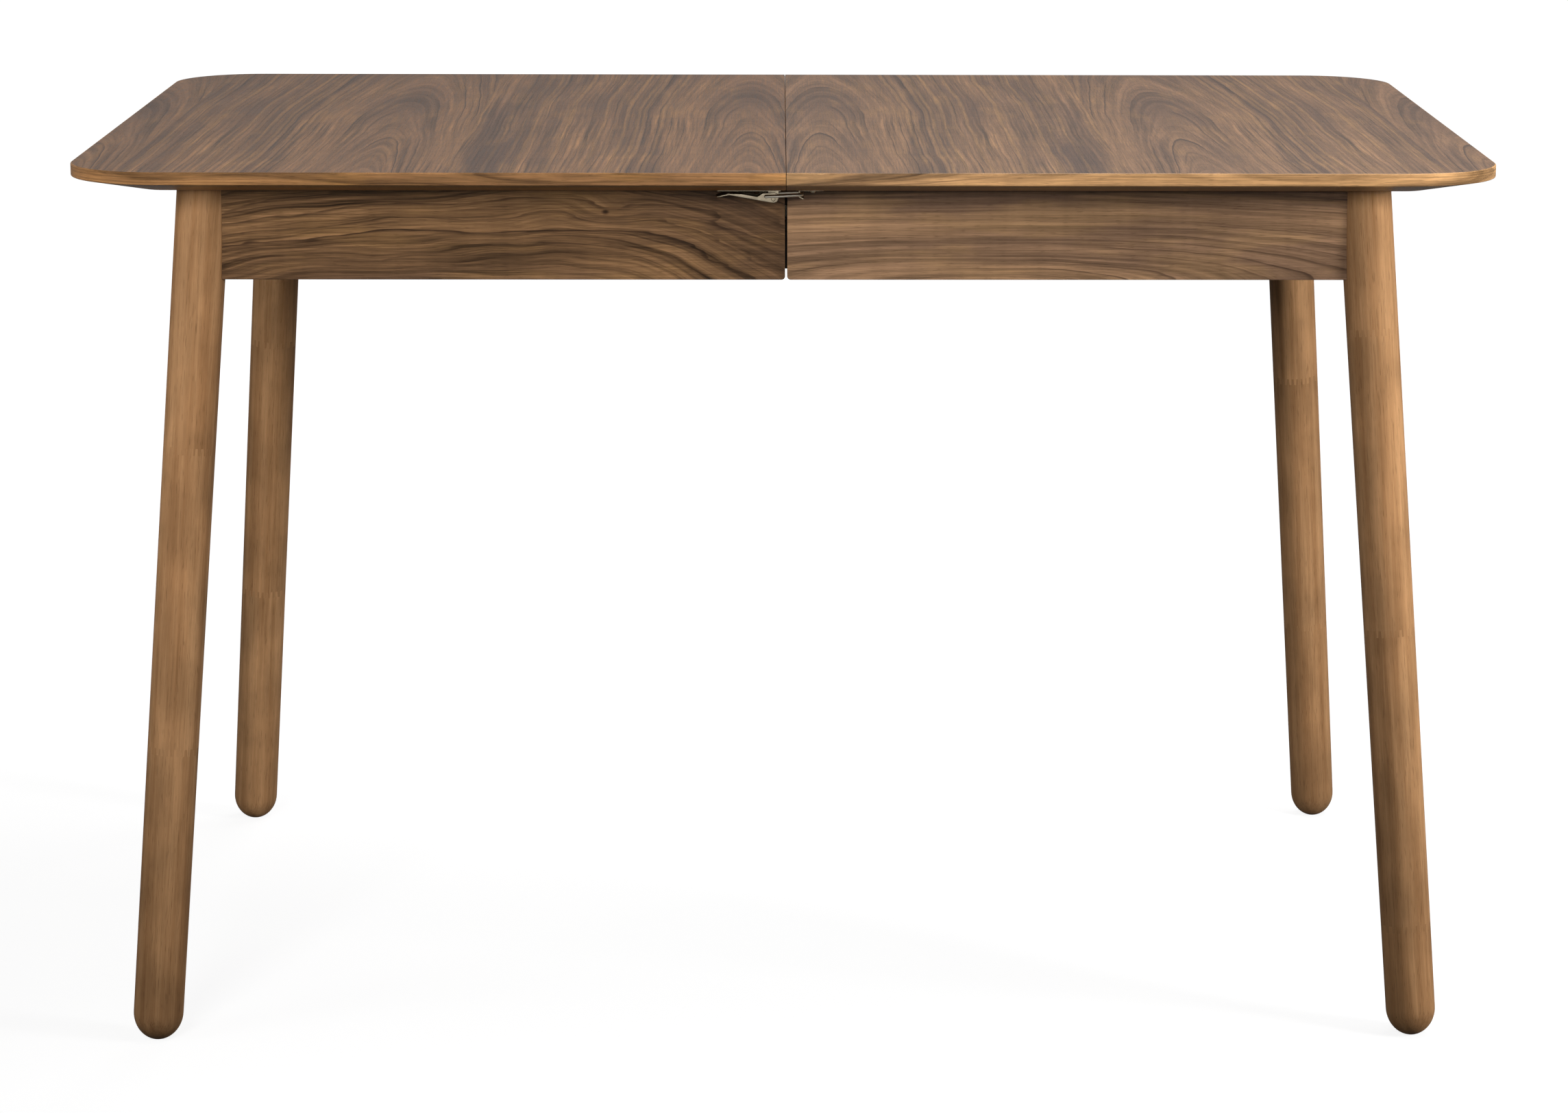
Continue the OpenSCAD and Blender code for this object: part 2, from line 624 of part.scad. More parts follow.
// Pinion tooth: half its angle at radius r, from the involute of the base circle
function involute(a) = tan(a) * 180 / PI - a;
function pitch_half() = 90 / pinion_teeth - backlash / 4 / pinion_r * 180 / PI;
function half_angle(r) = pitch_half() + involute(pressure) - involute(acos(base_r / r));
function polar(r, a) = r * [cos(a), sin(a)];
function flank_r(i) = base_r + (tip_r - base_r) * i / flank_steps;
function tooth(mid) = concat(
  [polar(root_r, mid - half_angle(base_r))],
  [for (i = [0:flank_steps]) polar(flank_r(i), mid - half_angle(flank_r(i)))],
  [for (i = [flank_steps:-1:0]) polar(flank_r(i), mid + half_angle(flank_r(i)))],
  [polar(root_r, mid + half_angle(base_r))]);
module pinion() color(nylon) translate([0, gear_y, 0]) difference() {
  translate([0, 0, pinion_z0]) linear_extrude(pinion_z1 - pinion_z0)
    polygon([for (t = [0:pinion_teeth - 1]) each tooth(90 + t * 360 / pinion_teeth)]);
  translate([0, 0, pinion_z0 - cut])
    cylinder(r = pin_d / 2 + pin_play, h = pinion_z1 - pinion_z0 + 2 * cut);
}

// Rack with its teeth towards -y, pitch line at y = 0, and a gap at x = 0
function rack_half(h) = tooth_pitch / 4 - backlash / 4 - h * tan(pressure);
function rack_points() = concat(
  [[-rack_tail, rack_back + root_h], [-rack_tail, root_h]],
  [for (k = [-rack_lead:rack_teeth - 1]) let (mid = (k + 0.5) * tooth_pitch) each [
    [mid - rack_half(-root_h), root_h], [mid - rack_half(tooth_m), -tooth_m],
    [mid + rack_half(tooth_m), -tooth_m], [mid + rack_half(-root_h), root_h]]],
  [[rack_end, root_h], [rack_end, rack_back + root_h]]);
module rack() color(black_steel) union() {
  translate([0, 0, rack_z0]) linear_extrude(rack_h) polygon(rack_points());
  block([-rack_tail, root_h, rack_z1 - cut], [-rack_foot_x, rack_back + root_h, under_z]);
}
module rack_left() translate([0, gear_y + pinion_r, 0]) rack();
module rack_right() translate([0, gear_y - pinion_r, 0]) rotate([0, 0, 180]) rack();
module pinion_bracket() difference() {
  union() {
    block([-gear_plate_w / 2, gear_y, gear_plate_z - gear_plate_t],
      [gear_plate_w / 2, rail_in_y, gear_plate_z]);
    translate([0, gear_y, gear_plate_z - gear_plate_t])
      cylinder(d = gear_plate_w, h = gear_plate_t);
    block([-gear_plate_w / 2, rail_in_y - gear_plate_t, gear_leg_z],
      [gear_plate_w / 2, rail_in_y, gear_plate_z]);
  }
  translate([0, gear_y, gear_plate_z - gear_plate_t - cut])
    cylinder(d = pin_d + 2 * hair, h = gear_plate_t + 2 * cut);
}
module pinion_brackets() color(black_steel) both_legs() pinion_bracket();
module pinion_pin() translate([0, gear_y, 0]) union() {
  translate([0, 0, gear_plate_z - gear_plate_t])
    cylinder(d = pin_d, h = pinion_z1 + pin_out - gear_plate_z + gear_plate_t);
  translate([0, 0, gear_plate_z])
    cylinder(r = pin_collar_r, h = pinion_z0 - gear_plate_z - pin_float);
  translate([0, 0, pinion_z1 + pin_float]) cylinder(r = pin_cap_r, h = pin_cap_t);
}
module pinion_pins() color(bright_steel) both_legs() pinion_pin();

// Latch, drawn about its own middle line at y = 0, with the seam at x = 0
module at_latch() translate([0, -latch_y, 0]) children();
module latch_base() color(bright_steel) at_latch() difference() {
  union() {
    block([base_x0, -ear_half, plate_z], [base_x1, ear_half, under_z]);
    for (side = [-1, 1]) along_y(side > 0 ? ear_half - sheet_t : -ear_half,
      side > 0 ? ear_half : sheet_t - ear_half) union() {
        translate([-rivet_x - ear_w / 2, rivet_z]) square([ear_w, rivet_drop - sheet_t / 2]);
        translate([-rivet_x, rivet_z]) circle(r = ear_r);
      }
  }
  translate([-rivet_x, 0, rivet_z]) rod_y(rivet_r + hair, -lever_w, lever_w);
  for (x = base_screws) plate_hole(x, 0);
}
module plate_hole(x, y) translate([x, y, plate_z - cut])
  cylinder(d = screw_d + 2 * hair, h = sheet_t + 2 * cut);
module latch_rivet() at_latch() translate([-rivet_x, 0, rivet_z])
  rod_y(rivet_r, -lever_w / 2 - hair, lever_w / 2 + hair);
module latch_rivets() color(bright_steel) both_legs() latch_rivet();
module latch_screw() {
  translate([0, 0, plate_z - screw_head_h])
    cylinder(d1 = screw_head_d - screw_head_h, d2 = screw_head_d, h = screw_head_h);
  translate([0, 0, plate_z - cut / 2]) cylinder(d = screw_d, h = screw_l);
}
module latch_screws() color(bright_steel)
  for (x = base_screws, y = [-latch_y, latch_y]) translate([x, y, 0]) latch_screw();
function keeper_screw_ys() =
  [for (side = [-1, 1], off = [-1, 1]) side * latch_y + off * keeper_screw_y];
module keeper_screws() color(bright_steel)
  for (y = keeper_screw_ys()) translate([keeper_screw_x, y, 0]) latch_screw();

// Lever: two cheeks, a sloping back and a thumb tab with round corners
module latch_lever() color(bright_steel) at_latch() difference() {
  translate([-rivet_x, 0, rivet_z]) union() {
    for (side = [0, 1]) mirror([0, side, 0])
      along_y(lever_w / 2 - sheet_t, lever_w / 2) polygon(cheek);
    along_y(-lever_w / 2, lever_w / 2)
      polygon([tab_root, back_end + [0, sheet_t], back_end, tab_root - [0, sheet_t]]);
    intersection() {
      along_y(-lever_w / 2, lever_w / 2)
        polygon([tab_root + [tab_overlap, 0], tab_end, tab_end - [0, sheet_t],
          tab_root + [tab_overlap, -sheet_t]]);
      translate([tab_end[0], 0, -lever_l / 2]) union() {
        translate([tab_r, -lever_w / 2, 0]) cube([lever_l, lever_w, lever_l]);
        translate([0, tab_r - lever_w / 2, 0]) cube([lever_l, lever_w - 2 * tab_r, lever_l]);
        for (side = [-1, 1]) translate([tab_r, side * (lever_w / 2 - tab_r), 0])
          cylinder(r = tab_r, h = lever_l);
      }
    }
  }
  translate([-rivet_x, 0, rivet_z]) rod_y(rivet_r + hair, -lever_w, lever_w);
  translate([eye_at[0], 0, eye_at[1]]) rod_y(wire_r + hair, -lever_w, lever_w);
}

// Bail: a wire bent to a U, with its ends turned in through the lever's eyes
module latch_bail() color(bright_steel) at_latch()
  translate([eye_at[0], 0, eye_at[1]]) rotate([0, -bail_tilt, 0]) union() {
    for (side = [0, 1]) mirror([0, side, 0]) {
      translate([0, bail_half, 0]) rod_x(wire_r, 0, bail_len - bend_r);
      translate([bail_len - bend_r, bail_half - bend_r, 0])
        rotate_extrude(angle = 90) translate([bend_r, 0]) circle(r = wire_r);
      rod_y(wire_r, lever_w / 2 - sheet_t + hair, bail_half);
      translate([0, bail_half, 0]) sphere(r = wire_r);
    }
    translate([bail_len, 0, 0]) rod_y(wire_r, bend_r - bail_half, bail_half - bend_r);
  }

// Keeper: a plate with a wall that the cross wire pulls on, and a lip under the wire
module keeper() color(bright_steel) at_latch() difference() {
  along_y(-keeper_w / 2, keeper_w / 2) polygon([
    [keeper_wall - sheet_t, under_z], [keeper_wall + keeper_l, under_z],
    [keeper_wall + keeper_l, plate_z], [keeper_wall, plate_z],
    for (p = keeper_lip) [keeper_wall, bail_z - wire_r] + p]);
  for (y = [-1, 1] * keeper_screw_y) plate_hole(keeper_screw_x, y);
}

top_left();
top_right();
left() rear() leg();  // leg_front_left
left() leg();  // leg_rear_left
rear() leg();  // leg_front_right
leg();  // leg_rear_right
left() apron_side();  // apron_front_left
left() rear() apron_side();  // apron_rear_left
left() apron_end();  // apron_end_left
apron_side();  // apron_front_right
rear() apron_side();  // apron_rear_right
apron_end();  // apron_end_right
left() rear() corner_block();  // corner_block_front_left
left() corner_block();  // corner_block_rear_left
rear() corner_block();  // corner_block_front_right
corner_block();  // corner_block_rear_right
left() both_legs() leg_bolt();  // leg_bolts_left
both_legs() leg_bolt();  // leg_bolts_right
left() both_legs() leg_nut();  // leg_nuts_left
both_legs() leg_nut();  // leg_nuts_right
left() top_brackets();  // top_brackets_left
top_brackets();  // top_brackets_right
seam_pins();
left() rear() slide_channel();  // slide_channel_front_left
left() slide_channel();  // slide_channel_rear_left
rear() slide_channel();  // slide_channel_front_right
slide_channel();  // slide_channel_rear_right
rear() rack_left();  // rack_front_left
rack_left();  // rack_rear_left
rear() rack_right();  // rack_front_right
rack_right();  // rack_rear_right
rear() carriage_rail();  // carriage_rail_front
carriage_rail();  // carriage_rail_rear
left() cross_rail();  // cross_rail_left
cross_rail();  // cross_rail_right
leaf_straps();
leaf_panel_upper();
leaf_panel_lower();
leaf_hinges();
leaf_pins();
pivot_rod();
rod_supports();
leaf_brackets();
pinion_brackets();
pinion_pins();
rear() pinion();  // pinion_front
pinion();  // pinion_rear
latch_base();  // latch_base_front
rear() latch_base();  // latch_base_rear
latch_rivets();
latch_screws();
latch_lever();  // latch_lever_front
rear() latch_lever();  // latch_lever_rear
latch_bail();  // latch_bail_front
rear() latch_bail();  // latch_bail_rear
keeper();  // keeper_front
rear() keeper();  // keeper_rear
keeper_screws();
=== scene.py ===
# %% [markdown]
# # An extending dining table
# The top of this table parts at a seam in the middle of its length, and each half keeps two legs
# and its aprons. The frame that is loaded here already holds every piece at its real size, and says
# how each one moves. This lesson gives those pieces their looks: veneer with the figure of a real
# tree, turned legs with finger joints, eased edges and bright pressed steel.
# Nothing in the frame is moved or resized. A new piece stands in the place of the old one, and
# rides on the same body, so that it slides and turns with it.

# %% Load the frame
import json
import math

import bmesh
import bpy
from mathutils import Matrix, Vector

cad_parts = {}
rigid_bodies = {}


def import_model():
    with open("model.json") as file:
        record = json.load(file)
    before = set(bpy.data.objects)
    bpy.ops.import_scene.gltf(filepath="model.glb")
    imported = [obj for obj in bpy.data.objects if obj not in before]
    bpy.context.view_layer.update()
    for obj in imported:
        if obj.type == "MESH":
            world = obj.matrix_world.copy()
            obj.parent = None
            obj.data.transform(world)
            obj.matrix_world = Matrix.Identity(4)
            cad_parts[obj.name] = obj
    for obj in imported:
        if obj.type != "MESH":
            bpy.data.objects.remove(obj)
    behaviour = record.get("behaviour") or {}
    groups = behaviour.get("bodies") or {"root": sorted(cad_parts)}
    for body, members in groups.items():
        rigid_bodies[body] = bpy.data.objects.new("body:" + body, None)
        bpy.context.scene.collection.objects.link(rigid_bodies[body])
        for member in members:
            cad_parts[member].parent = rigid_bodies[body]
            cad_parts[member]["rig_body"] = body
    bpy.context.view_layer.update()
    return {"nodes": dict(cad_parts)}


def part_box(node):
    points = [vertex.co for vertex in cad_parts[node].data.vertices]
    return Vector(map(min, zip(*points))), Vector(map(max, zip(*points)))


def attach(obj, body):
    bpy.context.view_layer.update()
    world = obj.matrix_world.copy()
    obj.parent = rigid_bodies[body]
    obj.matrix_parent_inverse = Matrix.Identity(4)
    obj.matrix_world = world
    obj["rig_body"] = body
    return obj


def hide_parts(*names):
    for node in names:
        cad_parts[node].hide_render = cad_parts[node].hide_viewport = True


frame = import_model()

# %% [markdown]
# ## Sizes of the table
# The sizes that the pieces share are read off the frame once, in metres: half the length and half
# the width of the top, its height and thickness, and where the seam is. What the frame doesn't
# state in a box, such as the radius of a corner, is written here by name.

# %% Sizes read from the frame
top_low, top_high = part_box("top_right")
HALF_L = top_high.x
HALF_W = top_high.y
TABLE_H = top_high.z
UNDER_Z = top_low.z
SEAM_X = top_low.x
CORNER_R = 0.080
EDGE_H = 0.0105
BEVEL_W = 0.058
MM = 0.001
print(f"top {2 * HALF_L:.3f} x {2 * HALF_W:.3f} m, {TABLE_H:.3f} m high")

# %% [markdown]
# ## The camera
# The photograph was taken with a long lens from a little above the table, almost straight from the
# front. A camera needs a place, a direction and a focal length. The direction is written as a yaw
# and a pitch, because those are what a photographer would set on a tripod head, and the columns of
# the rotation follow from them. The focal length is in pixels of the photograph.

# %% Place the camera
IMAGE_W = 2288
FOCAL_PX = 6281.3
CENTRE_PX = 1290
SENSOR_MM = 36.0
SIGHT_M = 200.0
CAMERA_AT = Vector((-0.0057, -3.9389, 1.2013))
YAW, PITCH, ROLL = 0.0248, 0.2128, 0.0042


def place_camera():
    """Makes the scene's camera at the photograph's viewing angle."""
    level = math.cos(PITCH)
    forward = Vector((math.sin(YAW) * level, math.cos(YAW) * level, -math.sin(PITCH)))
    right = Vector((math.cos(YAW), -math.sin(YAW), 0.0))
    up = right.cross(forward)
    turn = Matrix((right, up, -forward)).transposed() @ Matrix.Rotation(ROLL, 3, "Z")
    lens = bpy.data.cameras.new("camera")
    lens.sensor_width = SENSOR_MM
    lens.lens = FOCAL_PX / IMAGE_W * SENSOR_MM
    lens.shift_x = (IMAGE_W / 2 - CENTRE_PX) / IMAGE_W
    lens.clip_end = SIGHT_M
    camera = bpy.data.objects.new("camera", lens)
    camera.matrix_world = Matrix.Translation(CAMERA_AT) @ turn.to_4x4()
    bpy.context.scene.collection.objects.link(camera)
    bpy.context.scene.camera = camera
    return camera


print("lens", round(place_camera().data.lens, 2), "mm")

# %% [markdown]
# ## Helpers for materials
# A material is a small graph of nodes. Writing it with a helper keeps each line short: the helper
# adds a node, sets its options, and fills each socket with a number or with a link. A colour is
# written in the 0 to 255 numbers that an eye can compare with a sample, and is turned into the
# linear light that the renderer works with.

# %% Node helpers


def colour(red, green, blue):
    """A colour seen as 0 to 255 numbers, as linear light."""
    parts = [c / 255 for c in (red, green, blue)]
    return (*[c / 12.92 if c <= 0.04045 else ((c + 0.055) / 1.055) ** 2.4 for c in parts], 1.0)


def add(tree, kind, sockets=None, **options):
    """Adds a node. A socket is given a number, a colour or another node's output."""
    node = tree.nodes.new(kind)
    for name, value in options.items():
        setattr(node, name, value)
    for name, value in (sockets or {}).items():
        if isinstance(value, bpy.types.NodeSocket):
            tree.links.new(value, node.inputs[name])
        else:
            node.inputs[name].default_value = value
    return node


def new_material(name):
    """An empty material, its node tree and its surface shader."""
    material = bpy.data.materials.new(name)
    material.use_nodes = True
    tree = material.node_tree
    return material, tree, tree.nodes["Principled BSDF"]


# %% [markdown]
# Most of a material is sums on numbers that change from place to place: products, smooth steps,
# numbers drawn by lot for each ring or block of wood, and noise for the lumps and streaks. Every
# material ends in the same way, with a colour, a roughness and a relief for the shader.

# %% Sums, noise and surface


def maths(tree, operation, a, b=0.0, clamp=False):
    """One sum on two numbers or outputs."""
    return add(tree, "ShaderNodeMath", {0: a, 1: b}, operation=operation, use_clamp=clamp).outputs[0]


def times(tree, *factors):
    """The product of numbers or outputs."""
    total = factors[0]
    for factor in factors[1:]:
        total = maths(tree, "MULTIPLY", total, factor)
    return total


def centred(tree, value):
    """A number from 0 to 1, moved to lie about 0."""
    return maths(tree, "SUBTRACT", value, 0.5)


def rise(tree, value, low, high):
    """0 below low, 1 above high, and a smooth step between them."""
    sockets = {"Value": value, "From Min": low, "From Max": high}
    return add(tree, "ShaderNodeMapRange", sockets, interpolation_type="SMOOTHSTEP").outputs[0]


def between(tree, value, low, high):
    """A number from 0 to 1 spread out from low to high."""
    return add(tree, "ShaderNodeMapRange", {"Value": value, "To Min": low, "To Max": high}).outputs[0]


def chance(tree, value, salt=0.0):
    """A number drawn by lot for each whole value."""
    salted = maths(tree, "ADD", value, salt)
    return add(tree, "ShaderNodeTexWhiteNoise", {"W": salted}, noise_dimensions="1D").outputs[0]


def vector_sum(tree, operation, a, b=(0.0, 0.0, 0.0), output=0):
    """One sum on two vectors."""
    return add(tree, "ShaderNodeVectorMath", {0: a, 1: b}, operation=operation).outputs[output]


def noise(tree, vector, stretch, detail=2.0, roughness=0.5, shift=(0.0, 0.0, 0.0)):
    """Noise from about 0 to 1 whose lumps are one over stretch metres long each way."""
    placed = add(tree, "ShaderNodeMapping", {"Vector": vector, "Location": shift, "Scale": stretch})
    sockets = {"Vector": placed.outputs[0], "Scale": 1.0, "Detail": detail, "Roughness": roughness}
    return add(tree, "ShaderNodeTexNoise", sockets).outputs[0]


def mixed(tree, share, first, second, way="MIX"):
    """A colour part of the way from first to second."""
    sockets = {0: share, 6: first, 7: second}
    return add(tree, "ShaderNodeMix", sockets, data_type="RGBA", blend_type=way).outputs[2]


def shaded(tree, base, tone):
    """A colour multiplied by a number, which darkens it below 1 and lightens it above."""
    shade = add(tree, "ShaderNodeCombineXYZ", {0: tone, 1: tone, 2: tone}).outputs[0]
    return mixed(tree, 1.0, base, shade, "MULTIPLY")


def surface(tree, shader, base, rough, height, depth):
    """Gives the shader its colour, its roughness, and a bump that is depth metres deep."""
    bump = add(tree, "ShaderNodeBump", {"Height": height, "Distance": depth, "Strength": 1.0})
    for socket, output in (("Base Color", base), ("Roughness", rough), ("Normal", bump.outputs[0])):
        tree.links.new(output, shader.inputs[socket])


print("half grey is", round(colour(128, 128, 128)[0], 2), "of white in linear light")

# %% [markdown]
# ## Walnut veneer
# A veneer is a thin slice of a log, so its figure is the log's growth rings cut by a plane. The
# material works out the distance from the heart of the tree: across the sheet, and down to the
# heart, which comes nearer along the sheet because a log tapers. Close to the heart the rings open
# into arches, and further out they close up into straight lines, as they do on the table.
# The coordinates come from a map called Grain, in metres, with V along the grain and U across it
# from the heart. Slow noise makes the heart wander, and a knot pushes the rings aside.

# %% Growth rings
GRAIN = "Grain"
# Lumps a metre across the sheet, along it and from slice to slice
DRIFT = (6.0, 2.4, 9.0)
SWELL = (3.0, 2.4, 9.0)
KNOT_REACH = 0.022
KNOT_PUSH = 0.009


def away_from(tree, grain, knot, squash):
    """Distance of each place from a knot, squashed along the grain."""
    apart = vector_sum(tree, "SUBTRACT", grain, (*knot, 0.0))
    apart = vector_sum(tree, "MULTIPLY", apart, (1.0, squash, 0.0))
    return vector_sum(tree, "LENGTH", apart, output="Value")


def growth_rings(tree, grain, heart, knot):
    """The distance from the heart of the tree at each place on the sheet, and the place along it."""
    depth, climb, wander = heart
    parts = add(tree, "ShaderNodeSeparateXYZ", {0: grain})
    drift = centred(tree, noise(tree, grain, DRIFT, detail=3.0))
    swell = centred(tree, noise(tree, grain, SWELL, shift=(7.0, 3.0, 0.0)))
    across = maths(tree, "ADD", parts.outputs[0], times(tree, drift, wander))
    if knot:
        round_it = rise(tree, away_from(tree, grain, knot, 0.4), 0.0, KNOT_REACH)
        across = maths(tree, "SUBTRACT", across, times(tree, round_it, KNOT_PUSH))
    down = maths(tree, "ADD", times(tree, parts.outputs[1], climb), depth)
    down = maths(tree, "ADD", down, times(tree, swell, wander / 2))
    reach = add(tree, "ShaderNodeCombineXYZ", {0: across, 1: down}).outputs[0]
    return vector_sum(tree, "LENGTH", reach, output="Value"), parts.outputs[1]


# %% [markdown]
# Each ring ends in a dark line of late wood, slow to come and quick to go, of a strength drawn by
# lot. Some rings are golden in the middle. Streaks and fine hairs follow the rings, and curl crosses
# them, where the fibres bend in and out of the sheet.

# %% Late wood, gold and fine marks
FADE = (16.0, 3.0, 9.0)
GLOW = (45.0, 9.0, 9.0)
STREAKS = (200.0, 2.2, 9.0)
CALM = (24.0, 5.0, 9.0)
HAIRS = (520.0, 4.0, 9.0)
CURL = (7.0, 60.0, 9.0)
GOLD_SALT = 37.7


def late_wood(tree, grain, rings):
    """The dark line at the end of each ring."""
    place = maths(tree, "FRACT", rings)
    soft = times(tree, rise(tree, place, 0.35, 0.95), 0.45)
    crisp = times(tree, rise(tree, place, 0.78, 0.92), 0.55)
    gone = maths(tree, "SUBTRACT", 1.0, rise(tree, place, 0.95, 1.0))
    strength = chance(tree, maths(tree, "FLOOR", rings))
    fade = rise(tree, noise(tree, grain, FADE, detail=3.0, shift=(1.0, 9.0, 0.0)), 0.38, 0.60)
    return times(tree, maths(tree, "ADD", soft, crisp), gone, strength, between(tree, fade, 0.1, 1.0))


def golden_wood(tree, grain, rings):
    """Gold in the middle of some rings, and in a few soft patches."""
    bow = maths(tree, "SINE", times(tree, maths(tree, "FRACT", rings), math.pi))
    lot = rise(tree, chance(tree, maths(tree, "FLOOR", rings), GOLD_SALT), 0.5, 1.0)
    glow = rise(tree, noise(tree, grain, GLOW, detail=4.0, shift=(2.0, 5.0, 0.0)), 0.50, 0.68)
    return maths(tree, "ADD", times(tree, lot, bow, 0.6), times(tree, glow, 0.3), clamp=True)


def fine_marks(tree, grain, follow, depth):
    """Light and dark from the streaks and hairs that follow the rings, and from the curl."""
    streaks = rise(tree, noise(tree, follow, STREAKS, detail=5.0, roughness=0.72), 0.30, 0.70)
    calm = rise(tree, noise(tree, grain, CALM, detail=3.0, shift=(9.0, 2.0, 0.0)), 0.35, 0.65)
    streaks = times(tree, centred(tree, streaks), between(tree, calm, 0.3, 1.2))
    hairs = centred(tree, noise(tree, follow, HAIRS))
    tone = maths(tree, "ADD", times(tree, streaks, 0.64 * depth), 1.0)
    tone = maths(tree, "ADD", tone, times(tree, hairs, 0.8 * depth))
    return times(tree, tone, between(tree, noise(tree, grain, CURL), 0.86, 1.14))


# %% [markdown]
# Broad bands run from dark to light brown, gold and late wood are laid over them, and a tint sets
# the whole sheet. The tint holds the piece's own shade and also painted light, where one side of the
# table is lit more than the other. The short dark pores that walnut is known by are pits, so they
# also go into the roughness and the relief.

# %% Veneer material
DARK_BAND = colour(96, 74, 60)
LIGHT_BAND = colour(127, 98, 72)
GOLD_BAND = colour(150, 117, 79)
DARK_LINE = colour(56, 41, 31)
RIPPLE = (46.0, 7.0, 20.0)
BANDS = (22.0, 1.3, 9.0)
FIBRE = (800.0, 14.0, 90.0)
PORES = (1700.0, 90.0, 90.0)


def veneer(
    name, ring, heart, lines, tint_with_painted_light, slice_at=0.0, gloss=0.42, depth=1.0, stir=1.0, sheen=0.25, knot=None
):
    """Walnut veneer. Ring is a ring's width, heart its depth, climb and wander, stir the unevenness.

    Lines and depth are the contrast of the late wood and of the fine marks.
    """
    material, tree, shader = new_material(name)
    grain = add(tree, "ShaderNodeUVMap", uv_map=GRAIN).outputs[0]
    grain = vector_sum(tree, "ADD", grain, (0.0, 0.0, slice_at))
    radius, along = growth_rings(tree, grain, heart, knot)
    ripple = centred(tree, noise(tree, grain, RIPPLE, detail=3.0))
    rings = maths(tree, "ADD", maths(tree, "DIVIDE", radius, ring), times(tree, ripple, stir))
    late = late_wood(tree, grain, rings)
    if knot:
        edge = rise(tree, away_from(tree, grain, knot, 0.7), 0.5 * MM, 3.5 * MM)
        late = maths(tree, "MAXIMUM", late, maths(tree, "SUBTRACT", 1.0, edge))
    follow = add(tree, "ShaderNodeCombineXYZ", {0: radius, 1: along, 2: slice_at}).outputs[0]
    broad = rise(tree, noise(tree, follow, BANDS), 0.32, 0.68)
    fibre = rise(tree, noise(tree, grain, FIBRE, detail=4.0, roughness=0.65), 0.28, 0.72)
    pores = rise(tree, noise(tree, grain, PORES, detail=1.0), 0.60, 0.74)
    base = mixed(tree, broad, DARK_BAND, LIGHT_BAND)
    base = mixed(tree, golden_wood(tree, grain, rings), base, GOLD_BAND)
    base = mixed(tree, maths(tree, "MULTIPLY", late, lines, clamp=True), base, DARK_LINE)
    # The tint multiplies the colour, and holds painted light as well as the piece's own shade
    base = mixed(tree, 1.0, base, (*tint_with_painted_light, 1.0), "MULTIPLY")
    tone = times(
        tree,
        fine_marks(tree, grain, follow, depth),
        between(tree, fibre, 1 - 0.18 * depth, 1 + 0.18 * depth),
        between(tree, broad, 1 - 0.10 * depth, 1 + 0.10 * depth),
        between(tree, pores, 1.0, 0.66),
    )
    rough = between(tree, fibre, gloss - 0.05, gloss + 0.07)
    rough = maths(tree, "ADD", rough, times(tree, pores, 0.15))
    height = maths(tree, "SUBTRACT", times(tree, fibre, 0.4), pores)
    surface(tree, shader, shaded(tree, base, tone), rough, height, 0.04 * MM)
    shader.inputs["Specular IOR Level"].default_value = sheen
    return material


# %% [markdown]
# The two halves of the top are two slices of one log, so they share its rings. Their tints differ:
# the right half's is lighter and greyer, partly painted light and sheen from the right, and the
# left half's darker, partly painted shade. The band round the edge is a straight-grained strip with
# narrow rings; the right band's tint is greyer, a painted sheen from the right. The front left apron
# was cut nearer to the heart than the right one: its figure is broader and more uneven, and it has a
# small knot. Its tint is darker, partly its own shade and partly painted shade, and the right apron's
# tint is lighter and greyer, partly painted light and sheen from the right.

# %% The table's veneers
TOP_CUT = dict(ring=5 * MM, heart=(0.040, 0.055, 0.022), lines=1.0, sheen=0.5, stir=0.5, depth=1.3)
BAND_CUT = dict(ring=3 * MM, heart=(0.02, 0.012, 0.03), lines=1.0, slice_at=3.1, gloss=0.38, depth=2.0)
RIGHT_CUT = dict(ring=5 * MM, heart=(-0.02, 0.12, 0.02), lines=0.9, slice_at=5.3, depth=1.3)
LEFT_CUT = dict(ring=11 * MM, heart=(0.082, 0.25, 0.085), lines=1.0, slice_at=8.9, depth=1.9, stir=2.3)
KNOT_AT = (0.103, -0.153)
# Right-hand tints are lighter and greyer, partly painted light and sheen from the right; the left top and
# apron are darker, partly painted shade
TOP_RIGHT = veneer("walnut_top_right", tint_with_painted_light=(1.12, 1.04, 1.0), **TOP_CUT)
TOP_LEFT = veneer("walnut_top_left", tint_with_painted_light=(0.98, 0.86, 0.77), slice_at=0.012, **TOP_CUT)
BAND_RIGHT = veneer("walnut_band_right", tint_with_painted_light=(1.95, 1.88, 1.52), **BAND_CUT)
BAND_LEFT = veneer("walnut_band_left", tint_with_painted_light=(2.48, 2.1, 1.24), **BAND_CUT)
APRON_RIGHT = veneer("walnut_apron_right", tint_with_painted_light=(1.24, 1.25, 1.24), sheen=0.15, **RIGHT_CUT)
APRON_LEFT = veneer("walnut_apron_left", tint_with_painted_light=(0.78, 0.73, 0.62), sheen=0.15, knot=KNOT_AT, **LEFT_CUT)
print("veneers:", [material.name for material in bpy.data.materials])

# %% [markdown]
# ## Leg wood
# The legs are turned from a solid blank that is glued up from staves side by side, and from shorter
# blocks end to end with finger joints. Under the stain each block keeps a slightly different shade,
# and the fingers show as a short comb where two blocks meet. The material reads a place inside the
# blank, which each leg stores in its own attribute before it is leaned outwards. The block's number
# is drawn from that place, and its shade and its grain follow from the number.

# %% Blocks of the blank
TIMBER = "timber"
STAVE_W = 23 * MM
BLOCK_L = 0.26
FINGER_W = 4.4 * MM
FINGER_L = 6 * MM
STAVE_SALT = 5.0
BLOCK_SALT = 0.5
MOST_BLOCKS = 17.0


